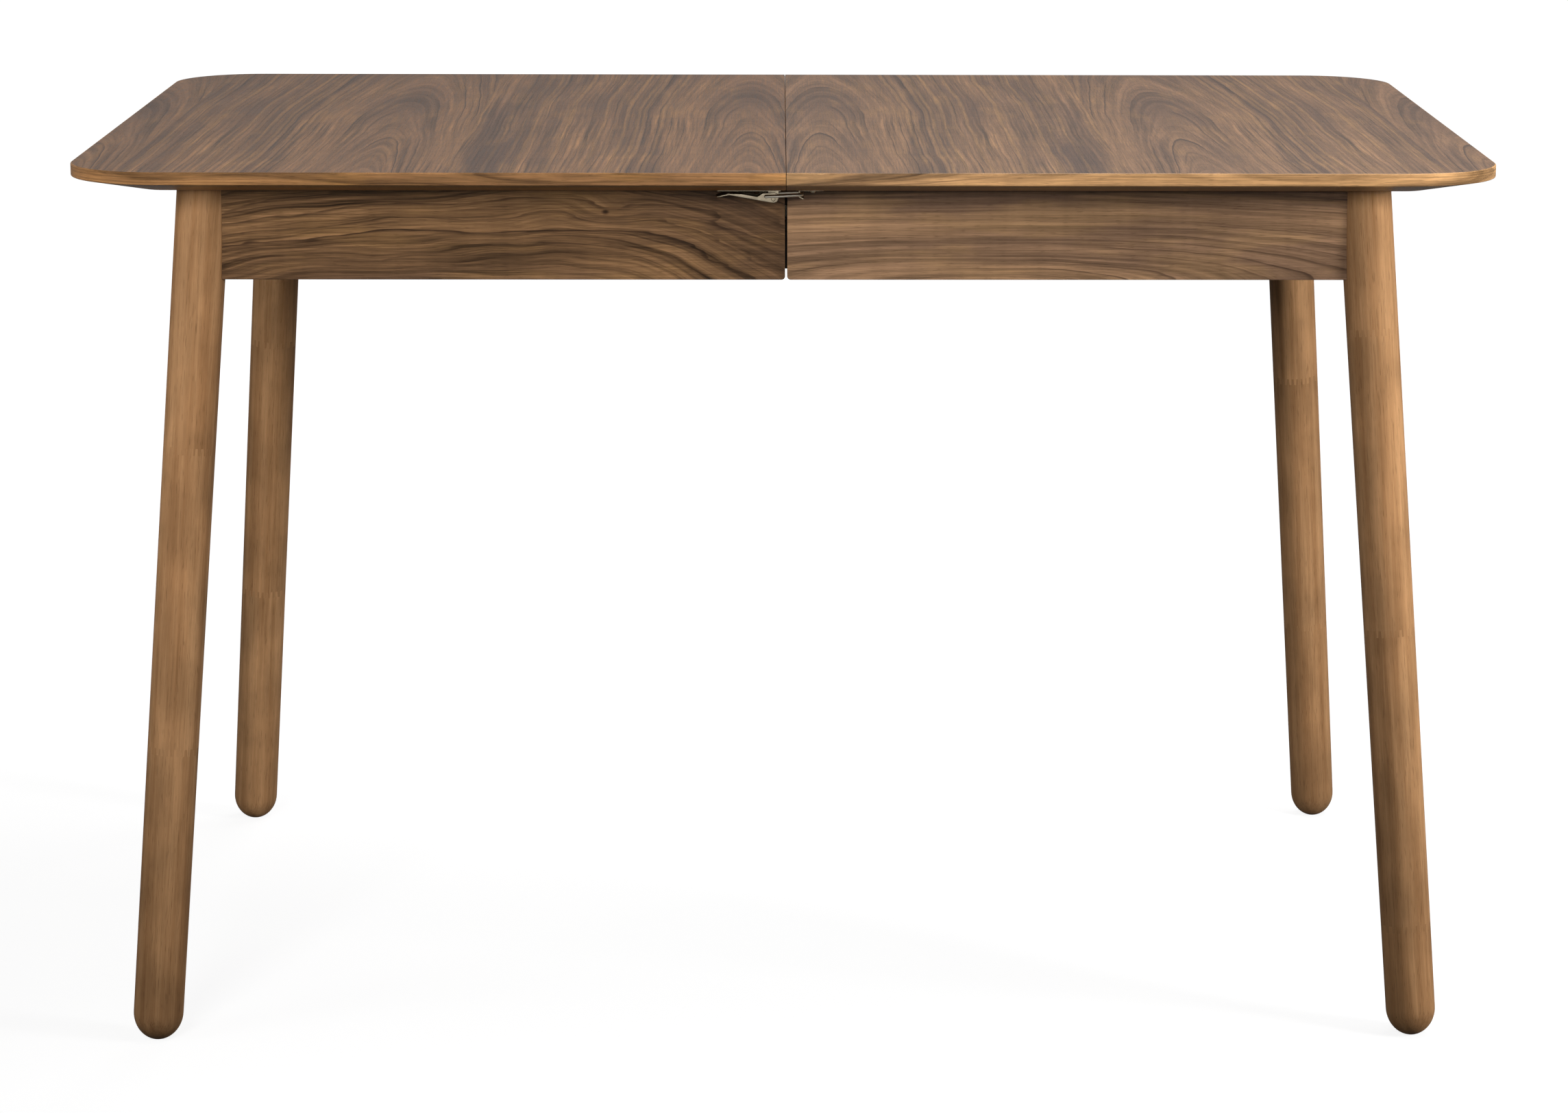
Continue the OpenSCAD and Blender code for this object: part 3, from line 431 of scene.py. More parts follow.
def block_number(tree, place):
    """The number of the block that a place in the blank belongs to."""
    parts = add(tree, "ShaderNodeSeparateXYZ", {0: place})
    finger = maths(tree, "PINGPONG", parts.outputs[0], FINGER_W / 2)
    comb = rise(tree, finger, 0.2 * FINGER_W, 0.3 * FINGER_W)
    height = maths(tree, "ADD", parts.outputs[2], times(tree, comb, FINGER_L))
    stave = maths(tree, "FLOOR", maths(tree, "DIVIDE", parts.outputs[1], STAVE_W))
    height = maths(tree, "ADD", height, times(tree, chance(tree, stave, STAVE_SALT), BLOCK_L))
    block = maths(tree, "FLOOR", maths(tree, "DIVIDE", height, BLOCK_L))
    return maths(tree, "ADD", times(tree, stave, MOST_BLOCKS), block)


# %% [markdown]
# The stain is matt and warmer than the veneer. Long streaks run from dark to light, clouds pull them
# back to the middle shade, and blotches took up more of the stain.

# %% Leg material
LEG_DARK = colour(136, 96, 61)
LEG_MID = colour(165, 123, 84)
LEG_LIGHT = colour(193, 150, 107)
LEG_SHEEN = 0.14


def leg_wood():
    """Stained solid wood, glued up from blocks."""
    material, tree, shader = new_material("walnut_leg")
    place = add(tree, "ShaderNodeAttribute", attribute_name=TIMBER).outputs["Vector"]
    number = block_number(tree, place)
    lot = chance(tree, number, BLOCK_SALT)
    apart = add(tree, "ShaderNodeCombineXYZ", {0: number, 1: lot, 2: 0.0}).outputs[0]
    own = vector_sum(tree, "ADD", place, apart)
    streak = noise(tree, own, (110.0, 110.0, 3.2), detail=5.0, roughness=0.66)
    cloud = noise(tree, own, (30.0, 30.0, 7.0))
    blotch = noise(tree, own, (26.0, 26.0, 14.0), detail=4.0, shift=(3.0, 1.0, 0.0))
    fibre = noise(tree, own, (900.0, 900.0, 20.0), detail=3.0, roughness=0.6)
    pores = rise(tree, noise(tree, own, (1500.0, 1500.0, 75.0), detail=1.0), 0.60, 0.72)
    base = mixed(tree, rise(tree, streak, 0.3, 0.7), LEG_DARK, LEG_LIGHT)
    base = mixed(tree, between(tree, cloud, 0.2, 0.8), base, LEG_MID)
    tone = times(
        tree,
        between(tree, fibre, 0.72, 1.28),
        between(tree, lot, 0.90, 1.10),
        between(tree, rise(tree, blotch, 0.32, 0.68), 0.84, 1.16),
        between(tree, pores, 1.0, 0.72),
    )
    rough = maths(tree, "ADD", between(tree, cloud, 0.52, 0.62), times(tree, pores, 0.15))
    height = maths(tree, "SUBTRACT", times(tree, fibre, 0.5), pores)
    surface(tree, shader, shaded(tree, base, tone), rough, height, 0.06 * MM)
    shader.inputs["Specular IOR Level"].default_value = LEG_SHEEN
    return material


LEG_WOOD = leg_wood()
print("leg wood:", len(LEG_WOOD.node_tree.nodes), "nodes")

# %% [markdown]
# ## Beech, steel, brass and nylon
# Under the top the table is plain joinery and hardware. The hidden blocks and rails are unfinished
# beech, with its small darker flecks. The slides and brackets are steel, some painted black, some
# plated. Plated steel isn't an even grey: it has cloudy patches and fine scratches, which show in
# its roughness more than in its colour. One function makes every metal, from its colour and its
# roughness, and another the painted and moulded pieces.

# %% Makers of hardware materials


def own_place(tree):
    """Coordinates fixed to the piece, in metres."""
    return add(tree, "ShaderNodeTexCoord").outputs["Object"]


def beech_wood():
    """Planed, unfinished beech with its flecks."""
    material, tree, shader = new_material("beech")
    place = own_place(tree)
    growth = noise(tree, place, (14.0, 140.0, 140.0), detail=3.0)
    fleck = rise(tree, noise(tree, place, (160.0, 900.0, 900.0), detail=1.0), 0.60, 0.68)
    base = mixed(tree, rise(tree, growth, 0.3, 0.7), colour(196, 160, 116), colour(217, 184, 141))
    base = mixed(tree, times(tree, fleck, 0.5), base, colour(160, 118, 78))
    surface(tree, shader, base, between(tree, growth, 0.55, 0.70), growth, 0.05 * MM)
    return material


def metal(name, dark, light, rough, scratch=0.08):
    """Plated or drawn metal: cloudy, with fine scratches along the length."""
    material, tree, shader = new_material(name)
    place = own_place(tree)
    cloud = noise(tree, place, (55.0, 55.0, 55.0), detail=4.0, roughness=0.6)
    lines = noise(tree, place, (60.0, 2600.0, 2600.0))
    base = mixed(tree, rise(tree, cloud, 0.3, 0.7), dark, light)
    dull = between(tree, cloud, rough - 0.06, rough + 0.06)
    dull = maths(tree, "ADD", dull, times(tree, lines, scratch))
    surface(tree, shader, base, dull, lines, 0.008 * MM)
    shader.inputs["Metallic"].default_value = 1.0
    return material


def coated(name, dark, light, rough, peel):
    """A painted or moulded surface with a slight orange peel, peel lumps a metre."""
    material, tree, shader = new_material(name)
    place = own_place(tree)
    skin = noise(tree, place, (peel, peel, peel))
    cloud = noise(tree, place, (24.0, 24.0, 24.0), detail=3.0)
    base = mixed(tree, rise(tree, cloud, 0.3, 0.7), dark, light)
    surface(tree, shader, base, between(tree, skin, rough - 0.05, rough + 0.08), skin, 0.03 * MM)
    return material


# %% Hardware materials
BEECH = beech_wood()
BLACK_STEEL = coated("black_steel", colour(34, 34, 36), colour(46, 46, 48), 0.42, 900.0)
BRIGHT_STEEL = metal("bright_steel", colour(172, 172, 168), colour(214, 213, 206), 0.30)
LATCH_STEEL = metal("latch_steel", colour(116, 105, 87), colour(188, 174, 150), 0.19, scratch=0.05)
# The wire's pale colour is a painted highlight, standing in for the line of light along it
WIRE_WITH_PAINTED_HIGHLIGHT = metal("latch_wire", colour(218, 206, 184), colour(250, 242, 226), 0.30, scratch=0.05)
# Near black, so that the gap of the aprons shows dark
ALUMINIUM = metal("near_black_rail", colour(36, 36, 38), colour(50, 50, 52), 0.36, scratch=0.12)
BRASS = metal("brass", colour(176, 134, 62), colour(214, 176, 98), 0.30)
NYLON = coated("nylon", colour(224, 221, 211), colour(236, 234, 226), 0.38, 500.0)
print("materials so far:", len(bpy.data.materials))

# %% [markdown]
# ## Helpers for pieces
# A finished piece has its object at the origin and its place in its mesh, so a mesh is always built
# where it belongs. Faces are smooth, edges sharper than the eye would round are kept crisp, and the
# weighted normals keep the large flat faces flat next to a small eased edge.
# Pieces that the frame already shapes well are copied: the copy's triangles are joined back into
# whole faces, and its sharp edges are eased, because no real edge is perfectly sharp and the thin
# highlight along it is what makes a piece look made.

# %% Piece helpers
CRISP = math.radians(35)


def finish_piece(bm, name, body, materials, stands_for=()):
    """Turns a bmesh into a piece that rides on a body and stands for frame nodes."""
    mesh = bpy.data.meshes.new(name)
    bm.to_mesh(mesh)
    bm.free()
    mesh.shade_smooth()
    mesh.set_sharp_from_angle(angle=CRISP)
    piece = bpy.data.objects.new(name, mesh)
    bpy.context.scene.collection.objects.link(piece)
    for material in materials:
        mesh.materials.append(material)
    piece.modifiers.new("flat faces", "WEIGHTED_NORMAL").keep_sharp = True
    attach(piece, body)
    if stands_for:
        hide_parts(*stands_for)
    return piece


def body_of(node):
    """The body that a frame node rides on."""
    return frame["nodes"][node]["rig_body"]


def only(parts, kind):
    """The vertices, edges or faces among the parts that an operator gives back."""
    return [part for part in parts if isinstance(part, kind)]


def cut_by_plane(bm, place, facing, **lost):
    """Cuts a mesh by a plane, which can lose one side of it, and gives back the new edges."""
    everything = bm.verts[:] + bm.edges[:] + bm.faces[:]
    cut = bmesh.ops.bisect_plane(bm, geom=everything, plane_co=place, plane_no=facing, **lost)
    return only(cut["geom_cut"], bmesh.types.BMEdge)


# %% Helpers for copies of frame nodes
SAME_PLACE = 0.002 * MM
FLAT = math.radians(0.3)


def whole_faces(node):
    """A bmesh copy of a frame node, with its triangles joined into whole faces."""
    bm = bmesh.new()
    bm.from_mesh(frame["nodes"][node].data)
    bmesh.ops.remove_doubles(bm, verts=bm.verts, dist=SAME_PLACE)
    bmesh.ops.dissolve_limit(
        bm, angle_limit=FLAT, verts=bm.verts, edges=bm.edges, use_dissolve_boundaries=False
    )
    return bm


def bevel(bm, geom, radius, sides, affect="EDGES"):
    """Rounds edges, or the corners of a flat face."""
    bmesh.ops.bevel(
        bm,
        geom=geom,
        offset=radius,
        offset_type="OFFSET",
        segments=sides,
        profile=0.5,
        affect=affect,
        material=-1,
        clamp_overlap=False,
    )


def ease_edges(bm, radius, sides=2, sharper_than=50, edges=None):
    """Rounds every edge, or those given, where two faces meet at more than an angle in degrees."""
    limit = math.radians(sharper_than)
    chosen = bm.edges if edges is None else edges
    sharp = [edge for edge in chosen if edge.is_manifold and edge.calc_face_angle(0.0) > limit]
    bevel(bm, sharp, radius, sides)


def lay_grain(bm, along, heart, shift):
    """Unwraps each face in metres, V along the grain's axis and U across it from the heart."""
    grain = bm.loops.layers.uv.new(GRAIN)
    for face in bm.faces:
        facing = max(range(3), key=lambda axis: abs(face.normal[axis]))
        flat = [axis for axis in range(3) if axis != facing]
        run = along if along in flat else flat[0]
        over = flat[0] if flat[1] == run else flat[1]
        for loop in face.loops:
            place = loop.vert.co
            loop[grain].uv = (place[over] - heart[over], place[run] + shift)


def dressed(node, material, ease, sides=2):
    """An eased copy of a frame node that stands for it."""
    bm = whole_faces(node)
    ease_edges(bm, ease, sides)
    return finish_piece(bm, "dressed_" + node, body_of(node), [material], [node])


# %% [markdown]
# ## The two halves of the top
# The whole top is modelled first, and is then cut at the seam, as a joiner would do it, so that the
# bevel under the edge and the rounded corners run through. A rectangle has its four corners rounded
# by a vertex bevel, is extruded up by the height of the edge, and its lower face is inset by the
# width of the bevel and lowered.

# %% The whole top
CORNER_STEPS = 24
TOP_ARRIS = 1.2 * MM
LOW_ARRIS = 0.8 * MM
RIM_ANGLE = 5
NEAR = MM / 10


def whole_top():
    """The top in one piece, with rounded corners, an upright edge and a bevel under it."""
    bm = bmesh.new()
    band_low = TABLE_H - EDGE_H
    corners = [(-HALF_L, -HALF_W), (HALF_L, -HALF_W), (HALF_L, HALF_W), (-HALF_L, HALF_W)]
    bm.faces.new([bm.verts.new((x, y, band_low)) for x, y in corners])
    bevel(bm, bm.verts[:], CORNER_R, CORNER_STEPS, "VERTICES")
    raised = bmesh.ops.extrude_face_region(bm, geom=bm.faces[:], use_keep_orig=True)["geom"]
    bmesh.ops.translate(bm, vec=(0, 0, EDGE_H), verts=only(raised, bmesh.types.BMVert))
    under = [f for f in bm.faces if all(abs(v.co.z - band_low) < NEAR for v in f.verts)]
    bmesh.ops.recalc_face_normals(bm, faces=bm.faces)
    bmesh.ops.inset_region(bm, faces=under, thickness=BEVEL_W, use_even_offset=True, use_boundary=True)
    bmesh.ops.translate(bm, vec=(0, 0, UNDER_Z - band_low), verts=under[0].verts[:])
    bmesh.ops.recalc_face_normals(bm, faces=bm.faces)
    return bm


def ease_rim(bm, height, radius, sides):
    """Eases the edges that run round the top at a height."""
    rim = [e for e in bm.edges if all(abs(v.co.z - height) < NEAR for v in e.verts)]
    ease_edges(bm, radius, sides, RIM_ANGLE, rim)


# %% [markdown]
# The top face is cut again where one sheet of veneer meets the next, and each sheet gets its own
# place in the log: the sheets are opened like a book at the seam, so the figure on the left mirrors
# the one on the right, a thin slice further down. The band round the edge is unwrapped along the
# edge itself, so its grain follows the corners.

# %% Veneer of the top
# Where the sheets of veneer meet on the right half, out from the seam
SHEET_JOINTS = (0.281, 0.553)
# Heart of each sheet's figure, out from the seam, and how far each sheet is slipped along the grain
SHEET_HEARTS = (0.034, 0.352, 0.600)
SLIP = 0.043
# How far the grain runs under the bevel for each metre that the bevel drops
BEVEL_RUN = 5
BAND_SHIFT = 0.4
SQUARE = 0.999


def way_round(x, y):
    """Distance along the edge from the front of the seam, over either end, to the point nearest to x, y."""
    straight = HALF_L - CORNER_R
    side = HALF_W - CORNER_R
    corner = CORNER_R * math.pi / 2
    x = abs(x)
    if x <= straight:
        return x if y < 0 else 2 * (straight + corner + side) - x
    if abs(y) <= side:
        return straight + corner + side + y
    turned = math.atan2(abs(y) - side, x - straight)
    if y < 0:
        return straight + CORNER_R * (math.pi / 2 - turned)
    return straight + corner + 2 * side + CORNER_R * turned


def unwrap_top(bm, side):
    """Lays the grain on every face of a half, and sorts the faces into veneer and band."""
    grain = bm.loops.layers.uv.new(GRAIN)
    for face in bm.faces:
        centre = face.calc_center_median()
        flat = abs(face.normal.z) > SQUARE
        at_seam = abs(face.normal.x) > SQUARE and abs(centre.x) < SEAM_X
        sheet = sum(abs(centre.x) > joint for joint in SHEET_JOINTS)
        face.material_index = 0 if flat else 1
        for loop in face.loops:
            x, y, z = loop.vert.co
            if flat:
                loop[grain].uv = (abs(x) - SHEET_HEARTS[sheet], y + SLIP * sheet)
            elif at_seam:
                loop[grain].uv = (z - UNDER_Z, y)
            else:
                inset = max(0.0, TABLE_H - EDGE_H - z) * BEVEL_RUN
                loop[grain].uv = (TABLE_H - z + inset, way_round(x, y) + BAND_SHIFT * side)


# %% [markdown]
# The latches pull the halves together until they all but touch, with a fine groove all round the
# joint. Brass pins on the left half line the two up, so the right one has a blind hole for each.

# %% Top halves
JOINT_X = 0.07 * MM
GROOVE_X = 0.30 * MM
GROOVE_IN = 2.5 * MM
PIN_PLAY = 0.1 * MM
PIN_ROOM = 2 * MM
PIN_SIDES = 32


def bore_joint(bm, face, side):
    """Bores a blind hole into a joint face for each seam pin of the other half."""
    low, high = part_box("seam_pins")
    pin_r = (high.z - low.z) / 2
    rim = face.edges[:]
    bmesh.ops.delete(bm, geom=[face], context="FACES_ONLY")
    mouths = []
    for y in (low.y + pin_r, high.y - pin_r):
        at = Matrix.Translation((side * JOINT_X, y, low.z + pin_r)) @ Matrix.Rotation(math.pi / 2, 4, "Y")
        ring = bmesh.ops.create_circle(bm, segments=PIN_SIDES, radius=pin_r + PIN_PLAY, matrix=at)["verts"]
        mouths.append(list({edge for vert in ring for edge in vert.link_edges}))
    bmesh.ops.triangle_fill(bm, edges=rim + mouths[0] + mouths[1], use_beauty=True)
    for mouth in mouths:
        wall = bmesh.ops.extrude_edge_only(bm, edges=mouth)["geom"]
        inner = only(wall, bmesh.types.BMVert)
        bmesh.ops.translate(bm, vec=(side * (high.x + PIN_ROOM), 0, 0), verts=inner)
        end_rim = [e for e in only(wall, bmesh.types.BMEdge) if e.verts[0] in inner and e.verts[1] in inner]
        bmesh.ops.contextual_create(bm, geom=end_rim)


def half_top(side):
    """One half of the top: side is 1 on the right and -1 on the left."""
    bm = whole_top()
    ease_rim(bm, TABLE_H, TOP_ARRIS, 4)
    ease_rim(bm, TABLE_H - EDGE_H, LOW_ARRIS, 3)
    rim = cut_by_plane(bm, (side * GROOVE_X, 0, 0), (side, 0, 0), clear_inner=True)
    joint_face = bmesh.ops.contextual_create(bm, geom=rim)["faces"]
    bmesh.ops.recalc_face_normals(bm, faces=bm.faces)
    bmesh.ops.inset_region(bm, faces=joint_face, thickness=GROOVE_IN, use_even_offset=True)
    for vert in joint_face[0].verts:
        vert.co.x = side * JOINT_X
    if side > 0:
        bore_joint(bm, joint_face[0], side)
    for joint in SHEET_JOINTS:
        cut_by_plane(bm, (side * joint, 0, 0), (1, 0, 0))
    bmesh.ops.recalc_face_normals(bm, faces=bm.faces)
    unwrap_top(bm, side)
    return bm


for word, side, looks in (("left", -1, [TOP_LEFT, BAND_LEFT]), ("right", 1, [TOP_RIGHT, BAND_RIGHT])):
    bm = half_top(side)
    half = finish_piece(bm, "tabletop_" + word, word + "_half", looks, ["top_" + word])
    print(half.name, len(half.data.polygons), "faces")

# %% [markdown]
# ## The legs
# A leg is turned on a lathe, so it is made by a spin: half of its outline is swept once round its
# own centre line. The outline is a long, slight taper that ends in a rounded foot.

# %% Turn a leg
LEG_D = 45.2 * MM
FOOT_D = 42.8 * MM
NOSE_L = 24.5 * MM
NOSE_STEPS = 14
TURN_STEPS = 72
TAPER_STEPS = 6


def turned_leg(length):
    """A leg that stands on its foot at the origin, as it comes off the lathe."""
    bm = bmesh.new()
    outline = []
    for step in range(NOSE_STEPS + 1):
        angle = math.pi / 2 * step / NOSE_STEPS
        outline.append((FOOT_D / 2 * math.sin(angle), NOSE_L * (1 - math.cos(angle))))
    for step in range(1, TAPER_STEPS + 1):
        share = step / TAPER_STEPS
        outline.append((FOOT_D / 2 + (LEG_D - FOOT_D) / 2 * share, NOSE_L + (length - NOSE_L) * share))
    outline.append((0.0, length))
    line = [bm.verts.new((radius, 0, height)) for radius, height in outline]
    profile = line + [bm.edges.new(pair) for pair in zip(line, line[1:])]
    bmesh.ops.spin(
        bm, geom=profile, cent=(0, 0, 0), axis=(0, 0, 1), angle=math.tau, steps=TURN_STEPS, use_merge=True
    )
    bmesh.ops.remove_doubles(bm, verts=bm.verts, dist=MM / 100)
    return bm


# %% [markdown]
# The leg is then leaned outwards, and two planes cut it: the floor, and the underside of the top.
# Its centre line is read off the frame's own leg, from the middle of its highest and its lowest
# ring. Each leg is cut from a different place in the timber, so that no two look alike.

# %% Place the legs
FOOT_CUT = 0.6 * MM
BLANK_STEP = (0.1, 0.07, 0.9)
LEGS = ("leg_front_left", "leg_rear_left", "leg_front_right", "leg_rear_right")


def middle_at(node, height):
    """Middle of a frame node's outline at a height."""
    ring = [v.co for v in frame["nodes"][node].data.vertices if abs(v.co.z - height) < MM / 20]
    x, y = [(min(v[axis] for v in ring) + max(v[axis] for v in ring)) / 2 for axis in (0, 1)]
    return Vector((x, y, height))


def place_leg(name, blank):
    """Leans a turned leg to a frame leg's centre line, and cuts it at the floor and at the top."""
    foot, head = middle_at(name, 0.0), middle_at(name, UNDER_Z)
    line = (head - foot).normalized()
    bm = turned_leg((head - foot).length + LEG_D)
    timber = bm.verts.layers.float_vector.new(TIMBER)
    shift = Vector([step * blank for step in BLANK_STEP])
    for vert in bm.verts:
        vert[timber] = vert.co + shift
    lean = Vector((0, 0, 1)).rotation_difference(line).to_matrix().to_4x4()
    bmesh.ops.transform(bm, matrix=Matrix.Translation(foot - FOOT_CUT * line) @ lean, verts=bm.verts)
    for height, outwards in ((0.0, -1), (UNDER_Z, 1)):
        rim = cut_by_plane(bm, (0, 0, height), (0, 0, outwards), clear_outer=True)
        bmesh.ops.contextual_create(bm, geom=rim)
    bmesh.ops.recalc_face_normals(bm, faces=bm.faces)
    return bm


for blank, name in enumerate(LEGS):
    bm = place_leg(name, blank)
    finish_piece(bm, "turned_" + name, body_of(name), [LEG_WOOD], [name])
    line = middle_at(name, UNDER_Z) - middle_at(name, 0.0)
    print(name, "leans", round(math.degrees(line.angle(Vector((0, 0, 1)))), 1), "degrees")

# %% [markdown]
# ## The aprons
# An apron is a veneered board, coped at its end to fit round the leg. The frame's own shape is
# exact there, so it is copied, and its edges are eased by half a millimetre. The grain runs along
# the board. The veneer is laid so that the heart of the figure lies below the board's lower edge,
# further below it on the left half.

# %% Aprons
APRON_EASE = 0.5 * MM
APRON_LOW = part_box("apron_front_left")[0].z
# The veneer of each half's aprons, and how far the heart lies below the lower edge
APRON_LOOKS = {"left": (APRON_LEFT, 0.045), "right": (APRON_RIGHT, 0.003)}
# The axis that the grain runs along, and where in the log each board's veneer was cut
APRON_RUNS = {"apron_front_": (0, 0.0), "apron_rear_": (0, 1.7), "apron_end_": (1, 3.1)}

for word, (material, below) in APRON_LOOKS.items():
    for start, (along, shift) in APRON_RUNS.items():
        node = start + word
        bm = whole_faces(node)
        ease_edges(bm, APRON_EASE)
        lay_grain(bm, along, (0.0, 0.0, APRON_LOW - below), shift)
        finish_piece(bm, "veneered_" + node, body_of(node), [material], [node])
print("aprons from", round(APRON_LOW, 3), "m up")

# %% [markdown]
# ## The leaf
# The spare leaf is two panels of the same make as the top, hinged together and folded on each other
# under it. They show once the table is pulled open. The hinges and the pins are brass.

# %% Leaf
LEAF_EASE = 0.6 * MM
PIN_EASE = 0.2 * MM
LEAF_HEART = (0.03, 0.0, 0.0)
LEAF_SHIFT = 2.3

for number, node in enumerate(("leaf_panel_lower", "leaf_panel_upper")):
    bm = whole_faces(node)
    ease_edges(bm, LEAF_EASE)
    lay_grain(bm, 1, LEAF_HEART, LEAF_SHIFT + number)
    panel = finish_piece(bm, "veneered_" + node, body_of(node), [TOP_RIGHT], [node])
    print(panel.name, len(panel.data.polygons), "faces")
for node in ("leaf_hinges", "leaf_pins", "seam_pins"):
    dressed(node, BRASS, PIN_EASE)

# %% [markdown]
# ## The hardware under the top
# Everything that carries and guides the top is copied from the frame with eased edges, in the
# finish that such a piece has in the shops. The carriage rails are aluminium coloured near black, so
# what shows through the gap of the aprons is dark.

# %% Hardware
PAINTED = ("slide_channel_", "rack_", "leaf_straps", "rod_supports", "leaf_brackets", "pinion_brackets")
PLATED = ("leg_bolts_", "leg_nuts_", "top_brackets_", "pivot_rod", "pinion_pins")
# Slot, material, width of the eased edges, and how the names of the nodes start
HARDWARE = (
    ("beech", BEECH, 0.8 * MM, ("corner_block_", "cross_rail_")),
    ("black_steel", BLACK_STEEL, 0.25 * MM, PAINTED),
    ("bright_steel", BRIGHT_STEEL, 0.25 * MM, PLATED),
    ("aluminium", ALUMINIUM, 0.25 * MM, ("carriage_rail_",)),
    ("nylon", NYLON, 0.15 * MM, ("pinion_front", "pinion_rear")),
)
for slot, material, ease, starts in HARDWARE:
    chosen = [node for node in sorted(frame["nodes"]) if node.startswith(starts)]
    for node in chosen:
        dressed(node, material, ease)
    print(slot, len(chosen), "pieces")

# %% [markdown]
# ## The latches
# A toggle latch at the front and another at the rear pull the halves together. The lever and the
# base are pressed from sheet, so their edges are rolled a little rounder than a sawn edge, and the
# bail is a bent wire. All of it is nickel plated. The wire is coloured much paler than the sheet, a
# painted highlight that stands in for the bright line of light along it.

# %% Latches
SHEET_EASE = 0.3 * MM
SCREW_EASE = 0.15 * MM

for side in ("front", "rear"):
    for part in ("latch_base_", "latch_lever_", "keeper_"):
        dressed(part + side, LATCH_STEEL, SHEET_EASE, 3)
    # The bail takes the pale wire colour, a painted highlight
    dressed("latch_bail_" + side, WIRE_WITH_PAINTED_HIGHLIGHT, 0.0, 1)
for node in ("latch_rivets", "latch_screws", "keeper_screws"):
    dressed(node, LATCH_STEEL, SCREW_EASE)
print("pressed edges rolled by", SHEET_EASE / MM, "mm")

# %% [markdown]
# ## The small screws
# Screws hold the brackets, the channels and the carriage's fittings. Each head is a few rings of
# vertices: the outer ones make the rounded rim, and the inner ones are pushed in to make the cross
# for the screwdriver. A countersunk head is the same shape, nearly flat.

# %% A screw head
# Share of the radius and of the height at each ring of a head
HEAD_RINGS = ((1.0, 0.0), (0.97, 0.55), (0.8, 0.9), (0.58, 1.0), (0.28, 1.0))
HEAD_SIDES = 16
CROSS_RING = 3
CROSS_FLOOR = 0.35
SUNK = 0.05 * MM


def screw_head(bm, place, out, radius, height):
    """A screw head with a cross recess, that faces out from a place."""
    at = Matrix.Translation(place) @ Vector(out).to_track_quat("Z", "Y").to_matrix().to_4x4()
    rings = []
    for number, (share, up) in enumerate(HEAD_RINGS):
        ring = []
        for step in range(HEAD_SIDES):
            in_cross = number > CROSS_RING or (number == CROSS_RING and step % 4 == 0)
            lift = height * up * (CROSS_FLOOR if in_cross else 1.0) - SUNK
            angle = math.tau * step / HEAD_SIDES
            spot = Vector((radius * share * math.cos(angle), radius * share * math.sin(angle), lift))
            ring.append(bm.verts.new(at @ spot))
        rings.append(ring)
    for outer, inner in zip(rings, rings[1:]):
        for step in range(HEAD_SIDES):
            after = (step + 1) % HEAD_SIDES
            bm.faces.new((outer[step], outer[after], inner[after], inner[step]))
    bm.faces.new(rings[0])
    bm.faces.new(rings[-1])


def screws(name, body, heads):
    """One piece from a list of heads: place, direction, and radius with height."""
    bm = bmesh.new()
    for place, out, size in heads:
        screw_head(bm, place, out, *size)
    bmesh.ops.recalc_face_normals(bm, faces=bm.faces)
    finish_piece(bm, name, body, [BRIGHT_STEEL])
    print(name, len(heads), "heads")


# %% [markdown]
# In each half, four angle brackets hold the top to the long aprons and two hold it to the end
# apron, each with two screws into the apron and two into the top. Four flat heads hold each channel.

# %% Screws of the halves
ROUND_HEAD = (4.0 * MM, 2.2 * MM)
FLAT_HEAD = (4.3 * MM, 0.2 * MM)
DOWN = (0, 0, -1)
SIDES = ((-1, -1), (-1, 1), (1, -1), (1, 1))
INNER_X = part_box("apron_end_right")[0].x
channel_low, channel_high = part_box("slide_channel_rear_right")
INNER_Y = channel_high.y
CHANNEL_MID = (channel_low.z + channel_high.z) / 2
CHANNEL_WALL = 2.0 * MM
CHANNEL_SCREWS = 4
BRACKET_T = 2.0 * MM
BRACKET_HOLE = 12.0 * MM
BRACKET_HALF = 7.5 * MM
BRACKET_SHARES = (0.25, 0.8)
END_BRACKET_Y = 0.4 * abs(middle_at("leg_front_right", UNDER_Z).y)

for word, side in (("left", -1), ("right", 1)):
    heads = []
    for share, half, shift in [(share, *pair) for share in BRACKET_SHARES for pair in SIDES]:
        x = side * (share * channel_high.x + shift * BRACKET_HALF)
        y = half * (INNER_Y - BRACKET_T)
        heads.append(((x, y, UNDER_Z - BRACKET_HOLE), (0, -half, 0), ROUND_HEAD))
        y = half * (INNER_Y - BRACKET_HOLE)
        heads.append(((x, y, UNDER_Z - BRACKET_T), DOWN, ROUND_HEAD))
    for half, shift in SIDES:
        y = half * END_BRACKET_Y + shift * BRACKET_HALF
        x = side * (INNER_X - BRACKET_T)
        heads.append(((x, y, UNDER_Z - BRACKET_HOLE), (-side, 0, 0), ROUND_HEAD))
        x = side * (INNER_X - BRACKET_HOLE)
        heads.append(((x, y, UNDER_Z - BRACKET_T), DOWN, ROUND_HEAD))
    apart = (channel_high.x - channel_low.x) / CHANNEL_SCREWS
    for half, number in [(a, b) for a in (-1, 1) for b in range(CHANNEL_SCREWS)]:
        x = side * (channel_low.x + (number + 0.5) * apart)
        heads.append(((x, half * (INNER_Y - CHANNEL_WALL), CHANNEL_MID), (0, -half, 0), FLAT_HEAD))
    screws("screws_" + word, word + "_half", heads)

# %% [markdown]
# On the carriage, two screws hold each end of a strap and one each side of a pinion bracket, all
# from the inside. The leaf brackets and the rod's supports lie on plates with a screw in each corner.

